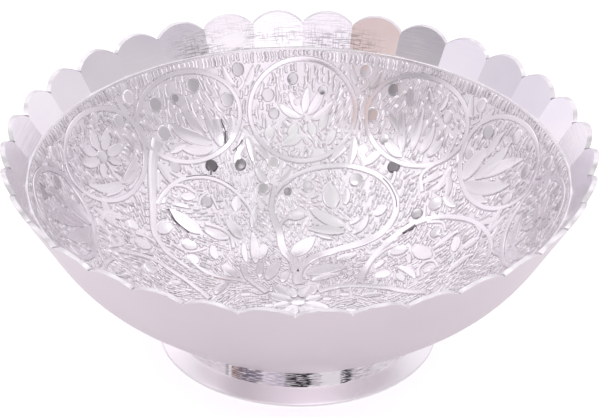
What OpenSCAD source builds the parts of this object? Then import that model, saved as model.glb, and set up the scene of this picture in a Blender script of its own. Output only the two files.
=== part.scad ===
// Footed offering bowl in bright white metal. A round dish is turned to a flared
// rim, and the rim is cut into a row of round lobes. The inside of each lobe is
// planished flat, down to the ring line where the plain band meets the chased
// field, so that the lobes meet in creases.
// The dish is soldered down on a cast ring foot with a sloping flange.
// Millimetres, +Z up, origin at the middle of the foot's underside.
// A lobe is centred on the +X axis.

/* [Rim] */
// Diameter across the valleys between the lobes, outside
rim_d = 150; // [146:1:158]
// Number of lobes round the rim
lobe_n = 34; // [28:2:40]
// Height of a lobe above the valleys beside it
lobe_rise = 2.6; // [1.6:0.1:3.2]
// Width of the file cut at the root of each valley
valley_w = 0.4; // [0.3:0.05:0.6]
// Level thickness of the wall at the top of a lobe
rim_wall = 1.3; // [1.1:0.1:1.6]
// Height of the plain band, from the ring line up to the valleys
band_h = 5.2; // [4.4:0.2:6.4]
// How far the chased field stands proud of the plain band at the ring line
ring_step = 0.3; // [0.1:0.05:0.5]

/* [Dish] */
// Height of the underside over the table, at its middle
base_z = 6.7; // [5.4:0.1:8]
// Thickness of the wall below the plain band
wall = 2.2; // [1.8:0.1:2.8]
// Radius of the flat middle of the underside
base_flat_r = 22; // [19:0.5:25]
// Radius of the curve that turns the base up into the belly
base_curve_r = 29; // [26:0.5:32]
// Slope of the belly where the base curve ends, in degrees
belly_angle = 32.5; // [31:0.5:36]
// Slope of the wall at the foot of the shoulder, in degrees
shoulder_angle = 40.5; // [39:0.5:42]
// Radius of the shoulder, where the wall turns up to the rim
shoulder_curve_r = 48; // [40:1:54]
// Slope of the flared rim, in degrees
flare_angle = 59; // [56:0.5:61]
// Level width of the straight flare, from the shoulder out to the valleys
flare_w = 9.3; // [8:0.1:10.5]

/* [Foot ring] */
// Diameter of the foot on the table
foot_d = 72.4; // [70:0.4:78]
// Diameter of the neck
neck_d = 65.6; // [63:0.4:67]
// Height of the sloping flange, with its lip
flange_h = 3.7; // [2.8:0.1:4.2]
// Height of the upright lip under the flange
lip_h = 0.7; // [0.4:0.1:1]
// Thickness of the ring's wall
foot_wall = 2.2; // [1.8:0.1:2.6]

/* [Solder] */
// Thickness of solder between the foot and the dish
seam_t = 0.15; // [0.1:0.05:0.3]
// Width of the solder bead in each corner of the joint
bead_w = 0.9; // [0.6:0.1:1.2]

/* [Hidden] */

// Pieces that each curve of the dish is divided into, and facets round it
base_steps = 8;
belly_steps = 4;
shoulder_steps = 8;
round_fn = 180;
// Overrun of a cut past the face it cuts through
over = 1;

rim_r = rim_d / 2;
foot_r = foot_d / 2;
neck_r = neck_d / 2;
neck_in_r = neck_r - foot_wall;
lobe_pitch = 360 / lobe_n;

// Level widths of the base curve and of the shoulder. The long shallow curve of
// the belly takes up what is left between them, and its radius follows
base_curve_w = base_curve_r * sin(belly_angle);
shoulder_w = shoulder_curve_r * (sin(flare_angle) - sin(shoulder_angle));
belly_w = rim_r - flare_w - shoulder_w - base_curve_w - base_flat_r;
belly_curve_r = belly_w / (sin(shoulder_angle) - sin(belly_angle));

// Points along an arc of radius r that leaves p at slope a0 and ends at slope a1
function arc_points(p, r, a0, a1, n) =
    [for (i = [1:n]) let (a = a0 + (a1 - a0) * i / n)
        p + r * [sin(a) - sin(a0), cos(a0) - cos(a)]];

// Half section of the dish's curve, for a face that lies t inside the outer one
function dish_curve(t) =
    let (start = [[0, base_z + t], [base_flat_r, base_z + t]],
         base = arc_points(start[1], base_curve_r - t, 0, belly_angle, base_steps),
         belly = arc_points(base[base_steps - 1], belly_curve_r - t,
                            belly_angle, shoulder_angle, belly_steps),
         shoulder = arc_points(belly[belly_steps - 1], shoulder_curve_r - t,
                               shoulder_angle, flare_angle, shoulder_steps))
    concat(start, base, belly, shoulder);

outer_curve = dish_curve(0);
inner_curve = dish_curve(wall);
outer_end = outer_curve[len(outer_curve) - 1];

// Heights that follow from the curve: the valleys, the lobe tops, the ring line
function flare_z(r) = outer_end[1] + (r - outer_end[0]) * tan(flare_angle);
function flare_r(z) = outer_end[0] + (z - outer_end[1]) / tan(flare_angle);
valley_z = flare_z(rim_r);
tip_z = valley_z + lobe_rise;
ring_z = valley_z - band_h;
top_z = tip_z + over;

// Inside of the plain band: from the ring line to the top of the lobes
field_r = flare_r(ring_z) - wall / sin(flare_angle);
step_w = ring_step / sin(flare_angle);
band_r = field_r + step_w;
tip_in_r = flare_r(tip_z) - rim_wall;
band_angle = atan2(tip_z - ring_z, tip_in_r - band_r);
top_in_r = tip_in_r + over / tan(band_angle);

// Each lobe is an arc over half a pitch either side, lobe_rise high
half_lobe = rim_r * sin(lobe_pitch / 2);
lobe_arc_r = (half_lobe * half_lobe + lobe_rise * lobe_rise) / (2 * lobe_rise);

// The cuts that shape the rim run from inside the band to outside the lobes
cut_in_r = band_r - over;
cut_out_r = flare_r(top_z) + over;

// Height of the dish's underside at radius r
function under_z(r) = lookup(r, outer_curve);

// Half section of all that lies inside the dish's outer face
module dish_outer_2d() {
    polygon(concat(outer_curve, [[flare_r(top_z), top_z], [0, top_z]]));
}

// Half section of the dish, with the band still as thick as the field's border
module dish_wall_2d() {
    difference() {
        dish_outer_2d();
        polygon(concat(inner_curve,
            [[field_r, ring_z], [top_in_r - step_w, top_z],
             [top_in_r - step_w, top_z + over], [0, top_z + over]]));
    }
}

// All that lies inside the flat faces of the band, above the ring line
module band_facets() {
    intersection() {
        translate([-rim_d, -rim_d, ring_z])
            cube([2 * rim_d, 2 * rim_d, top_z - ring_z + over]);
        intersection_for (i = [0:lobe_n - 1])
            rotate([0, 0, i * lobe_pitch])
                translate([band_r, 0, ring_z])
                    rotate([0, 90 - band_angle, 0])
                        translate([-2 * rim_d, -rim_d, -2 * rim_d])
                            cube([2 * rim_d, 2 * rim_d, 4 * rim_d]);
    }
}

// What is cut away above the lobes: a ring less one level round bar per lobe
module lobe_cutter() {
    difference() {
        rotate_extrude($fn = round_fn)
            translate([cut_in_r, tip_z - lobe_arc_r])
                square([cut_out_r - cut_in_r, lobe_arc_r + 2 * over]);
        for (i = [0:lobe_n - 1])
            rotate([0, 0, i * lobe_pitch])
                translate([cut_in_r - over, 0, tip_z - lobe_arc_r])
                    rotate([0, 90, 0])
                        cylinder(h = cut_out_r - cut_in_r + 2 * over,
                                 r = lobe_arc_r, $fn = round_fn);
    }
}

// The narrow flat-bottomed cuts that part the lobes
module valley_cuts() {
    for (i = [0:lobe_n - 1])
        rotate([0, 0, (i + 1 / 2) * lobe_pitch])
            translate([cut_in_r, -valley_w / 2, valley_z - valley_w / 2])
                cube([cut_out_r - cut_in_r, valley_w, lobe_rise]);
}

module bowl() {
    color("gainsboro")
    difference() {
        rotate_extrude($fn = round_fn) dish_wall_2d();
        band_facets();
        lobe_cutter();
        valley_cuts();
    }
}

// Half section of the ring foot, with its top turned to sit under the dish
module foot_ring_2d() {
    difference() {
        polygon([
            [foot_r - foot_wall, 0], [foot_r, 0], [foot_r, lip_h],
            [neck_r, flange_h], [neck_r, under_z(neck_r) + over],
            [neck_in_r, under_z(neck_r) + over], [neck_in_r, flange_h],
            [foot_r - foot_wall, lip_h]
        ]);
        translate([0, -seam_t]) dish_outer_2d();
    }
}

module foot_ring() {
    color("silver")
    rotate_extrude($fn = round_fn) foot_ring_2d();
}

// Half section of the solder: a film on the foot's top and a bead each side
module solder_seam_2d() {
    in_r = neck_in_r - bead_w;
    out_r = neck_r + bead_w;
    difference() {
        polygon([
            [in_r, under_z(in_r)],
            [neck_in_r, under_z(neck_in_r) - bead_w],
            [neck_r, under_z(neck_r) - bead_w],
            [out_r, under_z(out_r)],
            [out_r, under_z(out_r) + over],
            [in_r, under_z(in_r) + over]
        ]);
        dish_outer_2d();
        foot_ring_2d();
    }
}

module solder_seam() {
    color("darkgray")
    rotate_extrude($fn = round_fn) solder_seam_2d();
}

bowl();
foot_ring();
solder_seam();
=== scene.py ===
"""Footed offering bowl: turned, lobed and chased metal on a soldered ring foot.

Sizes in the classes are millimetres; every mesh is made in metres, in the frame of the CAD model.
The chased pattern is laid out flat, in the bowl's own development: a point lies at its arc length
from the middle of the bowl, along the inside of the dish, and at its angle round the axis (+y is
the back). Node trees sweep and strike it there and then wrap it on to the dish.
"""
import logging
import math
import random
from dataclasses import dataclass, field
from enum import Enum
from typing import Iterable, Sequence

import bmesh
import bpy
import numpy as np
from mathutils import Matrix, Vector


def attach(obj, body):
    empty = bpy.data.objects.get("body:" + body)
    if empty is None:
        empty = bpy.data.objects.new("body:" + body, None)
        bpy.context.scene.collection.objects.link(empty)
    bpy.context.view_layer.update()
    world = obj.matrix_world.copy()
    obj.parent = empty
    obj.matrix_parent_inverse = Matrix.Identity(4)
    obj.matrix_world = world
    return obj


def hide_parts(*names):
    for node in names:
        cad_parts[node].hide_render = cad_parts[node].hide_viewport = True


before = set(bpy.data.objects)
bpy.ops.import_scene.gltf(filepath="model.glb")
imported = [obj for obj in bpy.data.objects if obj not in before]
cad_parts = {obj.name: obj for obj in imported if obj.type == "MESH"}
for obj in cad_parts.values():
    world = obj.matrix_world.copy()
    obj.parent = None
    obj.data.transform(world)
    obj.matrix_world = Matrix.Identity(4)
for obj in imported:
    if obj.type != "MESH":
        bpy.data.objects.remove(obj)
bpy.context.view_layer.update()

MM = 0.001
Point = tuple[float, float]
Colour = tuple[float, float, float]
log = logging.getLogger("offering_bowl")


class Zone(Enum):
    """The differently finished parts of the bowl's shell."""

    SKIN = 0
    EDGE = 1
    BAND = 2
    GROUND = 3


class SprayKind(Enum):
    """The three leaf sprays that fill the medallions in turn."""

    FAN = 0
    LOTUS = 1
    CURL = 2


# Node trees


class Tree:
    """Adds nodes to one node tree and joins their sockets."""

    def __init__(self, tree: bpy.types.NodeTree) -> None:
        """Wraps a tree that already exists."""
        self.tree = tree

    @classmethod
    def cleared(cls, owner: bpy.types.Material | bpy.types.World) -> "Tree":
        """The emptied tree of a material or a world.

        Args:
            owner: What the tree belongs to.

        Returns:
            Its tree, with no nodes.
        """
        owner.use_nodes = True
        owner.node_tree.nodes.clear()
        return cls(owner.node_tree)

    def node(self, kind: str, **settings: object) -> bpy.types.Node:
        """Adds a node, sets its properties and feeds its inputs.

        Args:
            kind: The node's type name in Blender.
            settings: Properties by their lower-case names and then inputs by their capitalised names,
                with _ for a space.

        Returns:
            The new node.
        """
        made = self.tree.nodes.new(kind)
        for name, value in settings.items():
            if name[0].isupper():
                self.feed(made.inputs[name.replace("_", " ")], value)
            else:
                setattr(made, name, value)
        return made

    def feed(self, socket: bpy.types.NodeSocket, value: object) -> None:
        """Links a socket to value, or writes value on it; a colour gets its fourth number here.

        Args:
            socket: The input.
            value: An output, a number, a vector or a colour.
        """
        if isinstance(value, bpy.types.NodeSocket):
            self.tree.links.new(value, socket)
        elif socket.type == "RGBA":
            socket.default_value = (*value, 1.0)
        else:
            socket.default_value = value

    def in_order(self, made: bpy.types.Node, *values: object) -> bpy.types.Node:
        """Feeds a node's live inputs in order; returns the node.

        Args:
            made: The node.
            values: What each input gets.

        Returns:
            The node.
        """
        for socket, value in zip([s for s in made.inputs if s.enabled], values):
            self.feed(socket, value)
        return made

    def math(self, operation: str, *values: object, clamp: bool = False) -> bpy.types.NodeSocket:
        """Adds a Math node, which clamp holds between 0 and 1, and returns its output."""
        made = self.node("ShaderNodeMath", operation=operation, use_clamp=clamp)
        return self.in_order(made, *values).outputs[0]

    def product(self, *values: object) -> bpy.types.NodeSocket:
        """Multiplies two or more numbers or sockets.

        Args:
            values: The numbers or sockets.

        Returns:
            Their product.
        """
        made = values[0]
        for value in values[1:]:
            made = self.math("MULTIPLY", made, value)
        return made

    def hypot(self, a: object, b: object) -> bpy.types.NodeSocket:
        """Length of two numbers at right angles."""
        return self.math("SQRT", self.math("ADD", self.product(a, a), self.product(b, b)))

    def vector(self, operation: str, *values: object) -> bpy.types.Node:
        """Adds a Vector Math node and feeds its inputs in order; returns the node."""
        return self.in_order(self.node("ShaderNodeVectorMath", operation=operation), *values)

    def combine(self, x: object, y: object, z: object) -> bpy.types.NodeSocket:
        """Makes one vector of three numbers or sockets."""
        return self.in_order(self.node("ShaderNodeCombineXYZ"), x, y, z).outputs[0]

    def separate(self, value: object) -> Sequence[bpy.types.NodeSocket]:
        """Splits a vector; returns the three output sockets."""
        return self.in_order(self.node("ShaderNodeSeparateXYZ"), value).outputs

    def ramp(self, value: object, stops: Sequence[tuple[float, Colour]]) -> bpy.types.NodeSocket:
        """Adds a colour ramp.

        Args:
            value: The socket that drives it.
            stops: Pairs of place, from 0 to 1, and colour.

        Returns:
            The ramp's colour output.
        """
        made = self.node("ShaderNodeValToRGB")
        elements = made.color_ramp.elements
        while len(elements) < len(stops):
            elements.new(1.0)
        for element, (place, colour) in zip(elements, stops):
            element.position = place
            element.color = (*colour, 1.0)
        self.feed(made.inputs[0], value)
        return made.outputs[0]

    def mix(self, factor: object, a: object, b: object, blend: str = "MIX") -> bpy.types.NodeSocket:
        """Mixes two colours; returns the result."""
        made = self.node("ShaderNodeMix", data_type="RGBA", blend_type=blend)
        return next(s for s in self.in_order(made, factor, a, b).outputs if s.enabled)

    def smooth(self, value: object, low: float, high: float) -> bpy.types.NodeSocket:
        """Steps softly from 0 to 1 as a value runs from low to high."""
        return self.node("ShaderNodeMapRange", interpolation_type="SMOOTHSTEP", Value=value, From_Min=low,
                         From_Max=high).outputs[0]

    def noise(self, vector: object, scale: object = 1.0, detail: float = 3.0, rough: float = 0.5,
              dimensions: str = "2D") -> bpy.types.NodeSocket:
        """Adds a noise texture.

        Args:
            vector: Where it is read.
            scale: How much finer than the vector's own unit it is.
            detail: How many finer layers it has.
            rough: How strong the finer layers are.
            dimensions: 2D or 3D.

        Returns:
            Its grey output.
        """
        return self.node("ShaderNodeTexNoise", noise_dimensions=dimensions, Vector=vector, Scale=scale,
                         Detail=detail, Roughness=rough).outputs["Fac"]

    def streaks(self, across: object, across_scale: float, up: object,
                up_scale: float) -> bpy.types.NodeSocket:
        """Noise over two coordinates that is stretched along one of them."""
        place = self.combine(self.product(across, across_scale), self.product(up, up_scale), 0.0)
        return self.noise(place)

    def use(self, group: "Group", **values: object) -> Sequence[bpy.types.NodeSocket]:
        """Places a group, feeds it by socket name with _ for a space, and returns its outputs."""
        kind = group.tree.bl_idname.replace("Tree", "Group")
        return self.node(kind, node_tree=group.tree, **values).outputs


class Group(Tree):
    """A node group with named inputs and outputs."""

    def __init__(self, name: str, kind: str, takes: Sequence[tuple], gives: Sequence[tuple]) -> None:
        """Makes a group with its interface and its input node.

        Args:
            name: The group's name.
            kind: GeometryNodeTree or ShaderNodeTree.
            takes: Name, type and, where it has one, default of each input.
            gives: Name and type of each output.
        """
        super().__init__(bpy.data.node_groups.new(name, kind))
        for way, sockets in (("INPUT", takes), ("OUTPUT", gives)):
            for label, form, *default in sockets:
                made = self.tree.interface.new_socket(label, in_out=way, socket_type="NodeSocket" + form)
                if default:
                    made.default_value = default[0]
        self.given = self.node("NodeGroupInput").outputs

    def close(self, **values: object) -> None:
        """Adds the output node and feeds it, by socket name with _ for a space."""
        self.node("NodeGroupOutput", **values)

    def named(self, name: str, kind: str = "FLOAT") -> bpy.types.NodeSocket:
        """Reads a named attribute of the geometry."""
        made = self.node("GeometryNodeInputNamedAttribute", data_type=kind, Name=name)
        return next(s for s in made.outputs if s.enabled and s.name == "Attribute")

    def store(self, flow: bpy.types.NodeSocket, name: str, value: object,
              domain: str = "POINT") -> bpy.types.NodeSocket:
        """Stores a number on the geometry under a name; returns the geometry."""
        return self.node("GeometryNodeStoreNamedAttribute", data_type="FLOAT", domain=domain, Geometry=flow,
                         Name=name, Value=value).outputs[0]

    def move(self, flow: bpy.types.NodeSocket, place: bpy.types.NodeSocket) -> bpy.types.NodeSocket:
        """Sets the position of each point; returns the geometry."""
        return self.node("GeometryNodeSetPosition", Geometry=flow, Position=place).outputs[0]

    def shape_of(self, source: bpy.types.NodeSocket) -> bpy.types.NodeSocket:
        """The geometry of an object, in its own frame."""
        made = self.node("GeometryNodeObjectInfo", transform_space="ORIGINAL", Object=source)
        return made.outputs["Geometry"]

    def strike(self, points: bpy.types.NodeSocket, shape: bpy.types.NodeSocket, turn: object,
               **more: object) -> bpy.types.NodeSocket:
        """Puts a shape on each point and makes it real.

        Args:
            points: The geometry whose points are used.
            shape: What goes on each.
            turn: Its turn about Z, in radians.
            more: Other inputs of the instancing node.

        Returns:
            The geometry.
        """
        spin = self.node("FunctionNodeAxisAngleToRotation", Axis=(0.0, 0.0, 1.0), Angle=turn)
        place = self.node("GeometryNodeInstanceOnPoints", Points=points, Instance=shape,
                          Rotation=spin.outputs[0], **more)
        return self.node("GeometryNodeRealizeInstances", Geometry=place.outputs[0]).outputs[0]

    def identifier(self, name: str) -> str:
        """The identifier of a named input, which a modifier needs.

        Args:
            name: The input's name.

        Returns:
            Its identifier.
        """
        for item in self.tree.interface.items_tree:
            if item.item_type == "SOCKET" and item.in_out == "INPUT" and item.name == name:
                return item.identifier
        raise KeyError(name)

    def bake(self, source: bpy.types.Object, name: str, **values: object) -> bpy.types.Object:
        """Runs the group on an object and keeps the result as a plain mesh.

        Args:
            source: The object that the group works on; it is deleted.
            name: Name of the finished piece.
            values: The group's inputs, by name with _ for a space.

        Returns:
            A mesh object at the origin with no modifier.
        """
        modifier = source.modifiers.new("build", "NODES")
        modifier.node_group = self.tree
        for key, value in values.items():
            modifier[self.identifier(key.replace("_", " "))] = value
        source.update_tag()
        graph = bpy.context.evaluated_depsgraph_get()
        graph.update()
        mesh = bpy.data.meshes.new_from_object(source.evaluated_get(graph), depsgraph=graph)
        source.modifiers.clear()
        bpy.data.objects.remove(source)
        mesh.name = name
        piece = bpy.data.objects.new(name, mesh)
        bpy.context.scene.collection.objects.link(piece)
        return piece


def mesh_object(name: str, points: Sequence[Sequence[float]],
                faces: Sequence[Sequence[int]]) -> bpy.types.Object:
    """Makes a mesh object from points in millimetres.

    Args:
        name: The object's name.
        points: Corner points, three numbers each, in mm.
        faces: Corner indices of each face.

    Returns:
        The object, linked to the scene.
    """
    mesh = bpy.data.meshes.new(name)
    mesh.from_pydata([tuple(MM * c for c in p) for p in points], [], faces)
    made = bpy.data.objects.new(name, mesh)
    bpy.context.scene.collection.objects.link(made)
    return made


def curve_object(name: str, lines: Iterable[tuple[np.ndarray, np.ndarray, bool]]) -> bpy.types.Object:
    """Makes a curve object of straight-stepped splines.

    Args:
        name: The object's name.
        lines: For each spline its points in mm, its half widths in mm, and whether it closes.

    Returns:
        The object, linked to the scene.
    """
    curve = bpy.data.curves.new(name, "CURVE")
    curve.dimensions = "3D"
    for points, widths, closed in lines:
        spline = curve.splines.new("POLY")
        spline.points.add(len(points) - 1)
        spline.use_cyclic_u = closed
        spline.points.foreach_set("co", [c for p in points for c in (*(MM * v for v in p), 1.0)])
        spline.points.foreach_set("radius", [MM * w for w in widths])
    made = bpy.data.objects.new(name, curve)
    bpy.context.scene.collection.objects.link(made)
    return made


def mirrored(half: Sequence[Point]) -> list[Point]:
    """A whole section from its left half, which may end on the middle line."""
    return [*half, *((-x, z) for x, z in reversed(half) if x)]


def spaced(start: float, end: float, shares: Iterable[float]) -> list[float]:
    """Values at given shares of the way from start to end."""
    return [start + (end - start) * share for share in shares]


def turn_outwards(piece: bpy.types.Object) -> None:
    """Points the faces of a piece's closed shells outwards.

    Args:
        piece: The piece, changed in place.
    """
    shell = bmesh.new()
    shell.from_mesh(piece.data)
    bmesh.ops.recalc_face_normals(shell, faces=shell.faces[:])
    shell.to_mesh(piece.data)
    shell.free()


def smooth_with_creases(piece: bpy.types.Object, degrees: float) -> None:
    """Shades a piece smooth, with a crease wherever its faces meet at more than an angle."""
    piece.data.shade_smooth()
    piece.data.set_sharp_from_angle(angle=math.radians(degrees))


# Geometry


@dataclass(frozen=True)
class DishCurve:
    """The turned section of the dish, from its middle to the flare, and how deep its ground is sunk."""

    base_z: float = 6.7
    wall: float = 2.2
    base_flat_r: float = 22.0
    base_curve_r: float = 29.0
    belly_angle: float = 32.5
    shoulder_angle: float = 40.5
    shoulder_curve_r: float = 48.0
    flare_angle: float = 59.0
    flare_w: float = 9.3
    rim_r: float = 75.0
    band_h: float = 5.2
    ground_depth: float = 0.38
    border_w: float = 0.45
    border_slope: float = 0.3
    chords: tuple[int, int, int] = (11, 5, 7)

    def arc(self, start: Point, radius: float, a0: float, a1: float, steps: int) -> list[Point]:
        """Points along one arc.

        Args:
            start: Where the arc begins, as radius and height.
            radius: The arc's radius.
            a0: Slope at the start, in degrees.
            a1: Slope at the end, in degrees.
            steps: How many chords it is cut into.

        Returns:
            The points after the start.
        """
        made = []
        for i in range(1, steps + 1):
            a, b = math.radians(a0), math.radians(a0 + (a1 - a0) * i / steps)
            made.append((start[0] + radius * (math.sin(b) - math.sin(a)),
                         start[1] + radius * (math.cos(a) - math.cos(b))))
        return made

    def curve(self, inset: float, fine: float = 1.0) -> list[Point]:
        """The section at a depth inside the outer face, from the middle to the shoulder's end.

        Args:
            inset: Distance inside the outer face.
            fine: Multiplies the number of chords.

        Returns:
            Points as radius and height.
        """
        angles = (0.0, self.belly_angle, self.shoulder_angle, self.flare_angle)
        _, low, mid, high = (math.sin(math.radians(a)) for a in angles)
        belly_w = (self.rim_r - self.flare_w - self.base_flat_r - self.base_curve_r * low
                   - self.shoulder_curve_r * (high - mid))
        radii = (self.base_curve_r, belly_w / (mid - low), self.shoulder_curve_r)
        z = self.base_z + inset
        line = [(r, z) for r in spaced(0.0, self.base_flat_r, (0.0, 0.25, 0.5, 0.75, 1.0))]
        for radius, a0, a1, steps in zip(radii, angles, angles[1:], self.chords):
            line += self.arc(line[-1], radius - inset, a0, a1, round(steps * fine))
        return line

    def flare_at(self, inset: float, z: float) -> float:
        """Radius of the straight flare at a height, for a face that lies inset."""
        end = self.curve(inset)[-1]
        return end[0] + (z - end[1]) / math.tan(math.radians(self.flare_angle))

    @property
    def valley_z(self) -> float:
        """Height of the valleys between the lobes."""
        end = self.curve(0.0)[-1]
        return end[1] + (self.rim_r - end[0]) * math.tan(math.radians(self.flare_angle))

    @property
    def ring_z(self) -> float:
        """Height of the ring line, where the chased field ends."""
        return self.valley_z - self.band_h

    @property
    def ground_z(self) -> float:
        """Height at which the matted ground ends, below the ring line's border."""
        return self.ring_z - self.border_w - self.border_slope


@dataclass
class Shell:
    """The dish itself: turned skin, filed lobes, planished band and matted ground."""

    dish: DishCurve = field(default_factory=DishCurve)
    lobe_n: int = 34
    lobe_rise: float = 2.6
    valley_w: float = 0.4
    rim_wall: float = 1.3
    ring_step: float = 0.3
    edge_r: float = 0.22
    skin_drop: float = 2.4
    crease: float = 7.5
    # Distance from the middle of a valley of each line of points that runs over the rim
    beside_valley: tuple[float, ...] = (0.0, 0.17, 0.205, 0.45, 0.9, 1.5, 2.2, 3.0, 3.9, 4.9, 5.9)

    @property
    def pitch(self) -> float:
        """Angle from lobe to lobe, in radians."""
        return 2 * math.pi / self.lobe_n

    def rim_top(self, angle: float) -> float:
        """Height of the rim at an angle from the middle of its lobe.

        Args:
            angle: Angle round the axis, in radians.

        Returns:
            The height in mm.
        """
        half = self.dish.rim_r * math.sin(self.pitch / 2)
        radius = (half * half + self.lobe_rise ** 2) / (2 * self.lobe_rise)
        if self.dish.rim_r * math.sin(self.pitch / 2 - abs(angle)) < self.valley_w / 2 - 0.01:
            return self.dish.valley_z - self.valley_w / 2
        side = min(self.dish.rim_r * math.sin(abs(angle)), half)
        return self.dish.valley_z + self.lobe_rise - radius + math.sqrt(radius ** 2 - side ** 2)

    def column(self, angle: float) -> list[tuple[float, float, Zone]]:
        """One section of the shell, from the middle below, over the rim, to the middle above.

        Args:
            angle: Angle from the middle of the lobe, in radians.

        Returns:
            Radius, height and zone of each point. A face has the zone of its second point, but it is
            skin where its first point is skin.
        """
        dish, top, ring = self.dish, self.rim_top(angle), self.dish.ring_z
        slope = math.radians(dish.flare_angle)
        up = (math.cos(slope), math.sin(slope))
        field_r = dish.flare_at(dish.wall, ring)
        band_r = field_r + self.ring_step / up[1]
        tip_z = dish.valley_z + self.lobe_rise
        band_tan = (tip_z - ring) / (dish.flare_at(0, tip_z) - self.rim_wall - band_r)
        lean = math.hypot(1, band_tan)

        def flare(inset: float, heights: Iterable[float], zone: Zone) -> list[tuple[float, float, Zone]]:
            """Points on the straight flare, inside its outer face by inset."""
            return [(dish.flare_at(inset, z), z, zone) for z in heights]

        def band(z: float) -> float:
            """Radius of the lobe's flat inner face at a height."""
            return (band_r + (z - ring) / band_tan) / math.cos(angle)

        skin_z, edge_z = dish.valley_z - self.skin_drop, top - self.edge_r * up[1]
        outside = [ring - 4, skin_z, *spaced(skin_z, edge_z, (0.35, 0.7, 0.9))]
        made = [(r, z, Zone.SKIN) for r, z in dish.curve(0.0)] + flare(0, outside, Zone.SKIN)
        made += self.rounded((dish.flare_at(0, top), top), up, (-1, 0), self.edge_r)
        made += self.rounded((band(top), top), (1, 0), (-1 / lean, -band_tan / lean), self.edge_r * 0.7)
        made += [(band(z), z, Zone.BAND)
                 for z in spaced(ring, top - self.edge_r, (0.9, 0.72, 0.5, 0.28, 0.1, 0.0))]
        made += [(field_r + 0.12, ring, Zone.EDGE), (field_r - 0.03, ring - 0.12, Zone.EDGE)]
        made += flare(dish.wall, [ring - dish.border_w * up[1]], Zone.EDGE)
        floor = dish.wall - dish.ground_depth
        ground = dish.curve(floor)
        foot_z = ring - (dish.border_w + dish.border_slope) * up[1]
        rows = [foot_z, *spaced(ground[-1][1], dish.ground_z, (0.75, 0.5, 0.25))]
        made += flare(floor, rows, Zone.GROUND)
        return made + [(r, z, Zone.GROUND) for r, z in reversed(ground)]

    def rounded(self, corner: Point, come: Point, go: Point,
                radius: float) -> list[tuple[float, float, Zone]]:
        """Points round one edge of the rim.

        Args:
            corner: The sharp corner.
            come: Unit direction in which the section reaches it.
            go: Unit direction in which it leaves.
            radius: How far from the corner the rounding starts and ends.

        Returns:
            Four points of the edge zone.
        """
        p0 = (corner[0] - come[0] * radius, corner[1] - come[1] * radius)
        p3 = (corner[0] + go[0] * radius, corner[1] + go[1] * radius)
        made = []
        for t in (0.0, 0.33, 0.67, 1.0):
            a, b, c = (1 - t) ** 2, 2 * t * (1 - t), t * t
            r, z = (a * p0[k] + b * corner[k] + c * p3[k] for k in (0, 1))
            made.append((r, z, Zone.EDGE))
        return made

    def sector(self) -> bpy.types.Object:
        """One lobe with its slice of the dish, ready to be repeated round the axis.

        Returns:
            A mesh whose faces carry their zone.
        """
        half = [self.pitch / 2 - math.asin(s / self.dish.rim_r) for s in self.beside_valley]
        angles = [-a for a in half] + [0.0] + half[::-1]
        columns = [self.column(a) for a in angles]
        points = [(r * math.cos(a), r * math.sin(a), z)
                  for a, column in zip(angles, columns) for r, z, _ in column]
        n, turns = len(columns[0]), len(angles) - 1
        faces = [(j * n + i, (j + 1) * n + i, (j + 1) * n + i + 1, j * n + i + 1)
                 for j in range(turns) for i in range(n - 1)]
        line = [zone for _, _, zone in columns[0]]
        zones = [a.value if a is Zone.SKIN else b.value for a, b in zip(line, line[1:])] * turns
        made = mesh_object("lobe_sector", points, faces)
        made.data.attributes.new("zone", "INT", "FACE").data.foreach_set("value", zones)
        return made

    def build(self, repeat: "RoundRepeat", finishes: "Finishes") -> bpy.types.Object:
        """Repeats the sector into the whole shell.

        Args:
            repeat: The node tree that repeats a sector round the axis.
            finishes: The materials.

        Returns:
            The finished piece.
        """
        names = ("satin_skin", "filed_edge", "turned_band", "matted_ground")
        piece = repeat.run(self.sector(), "bowl_shell", self.lobe_n, [finishes[name] for name in names])
        smooth_with_creases(piece, self.crease)
        return piece


class RoundRepeat:
    """Node tree that repeats one sector round the axis and welds the joints."""

    def __init__(self) -> None:
        """Builds the tree."""
        self.group = group = Group(
            "repeat_round_axis", "GeometryNodeTree",
            [("Geometry", "Geometry"), ("Count", "Int", 34), ("Weld", "Float", 0.002 * MM),
             *((f"Finish {zone.value}", "Material") for zone in Zone)], [("Geometry", "Geometry")])
        given = group.given
        line = group.node("GeometryNodeMeshLine", Count=given["Count"], Offset=(0.0, 0.0, 0.0))
        step = group.math("DIVIDE", 2 * math.pi, given["Count"])
        turn = group.product(group.node("GeometryNodeInputIndex").outputs[0], step)
        real = group.strike(line.outputs[0], given["Geometry"], turn)
        flow = group.node("GeometryNodeMergeByDistance", Geometry=real, Distance=given["Weld"]).outputs[0]
        stored = group.named("zone", "INT")
        for zone in Zone:
            same = group.node("FunctionNodeCompare", data_type="INT", operation="EQUAL")
            group.in_order(same, stored, zone.value)
            flow = group.node("GeometryNodeSetMaterial", Geometry=flow, Selection=same.outputs[0],
                              Material=given[f"Finish {zone.value}"]).outputs[0]
        group.close(Geometry=flow)

    def run(self, sector: bpy.types.Object, name: str, count: int,
            finishes: Sequence[bpy.types.Material]) -> bpy.types.Object:
        """Repeats a sector.

        Args:
            sector: Mesh with a zone attribute; it is used up.
            name: Name of the finished piece.
            count: How many times it goes round.
            finishes: A material for each zone.

        Returns:
            The finished piece.
        """
        values = {f"Finish_{i}": finish for i, finish in enumerate(finishes)}
        return self.group.bake(sector, name, Count=count, **values)


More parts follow.
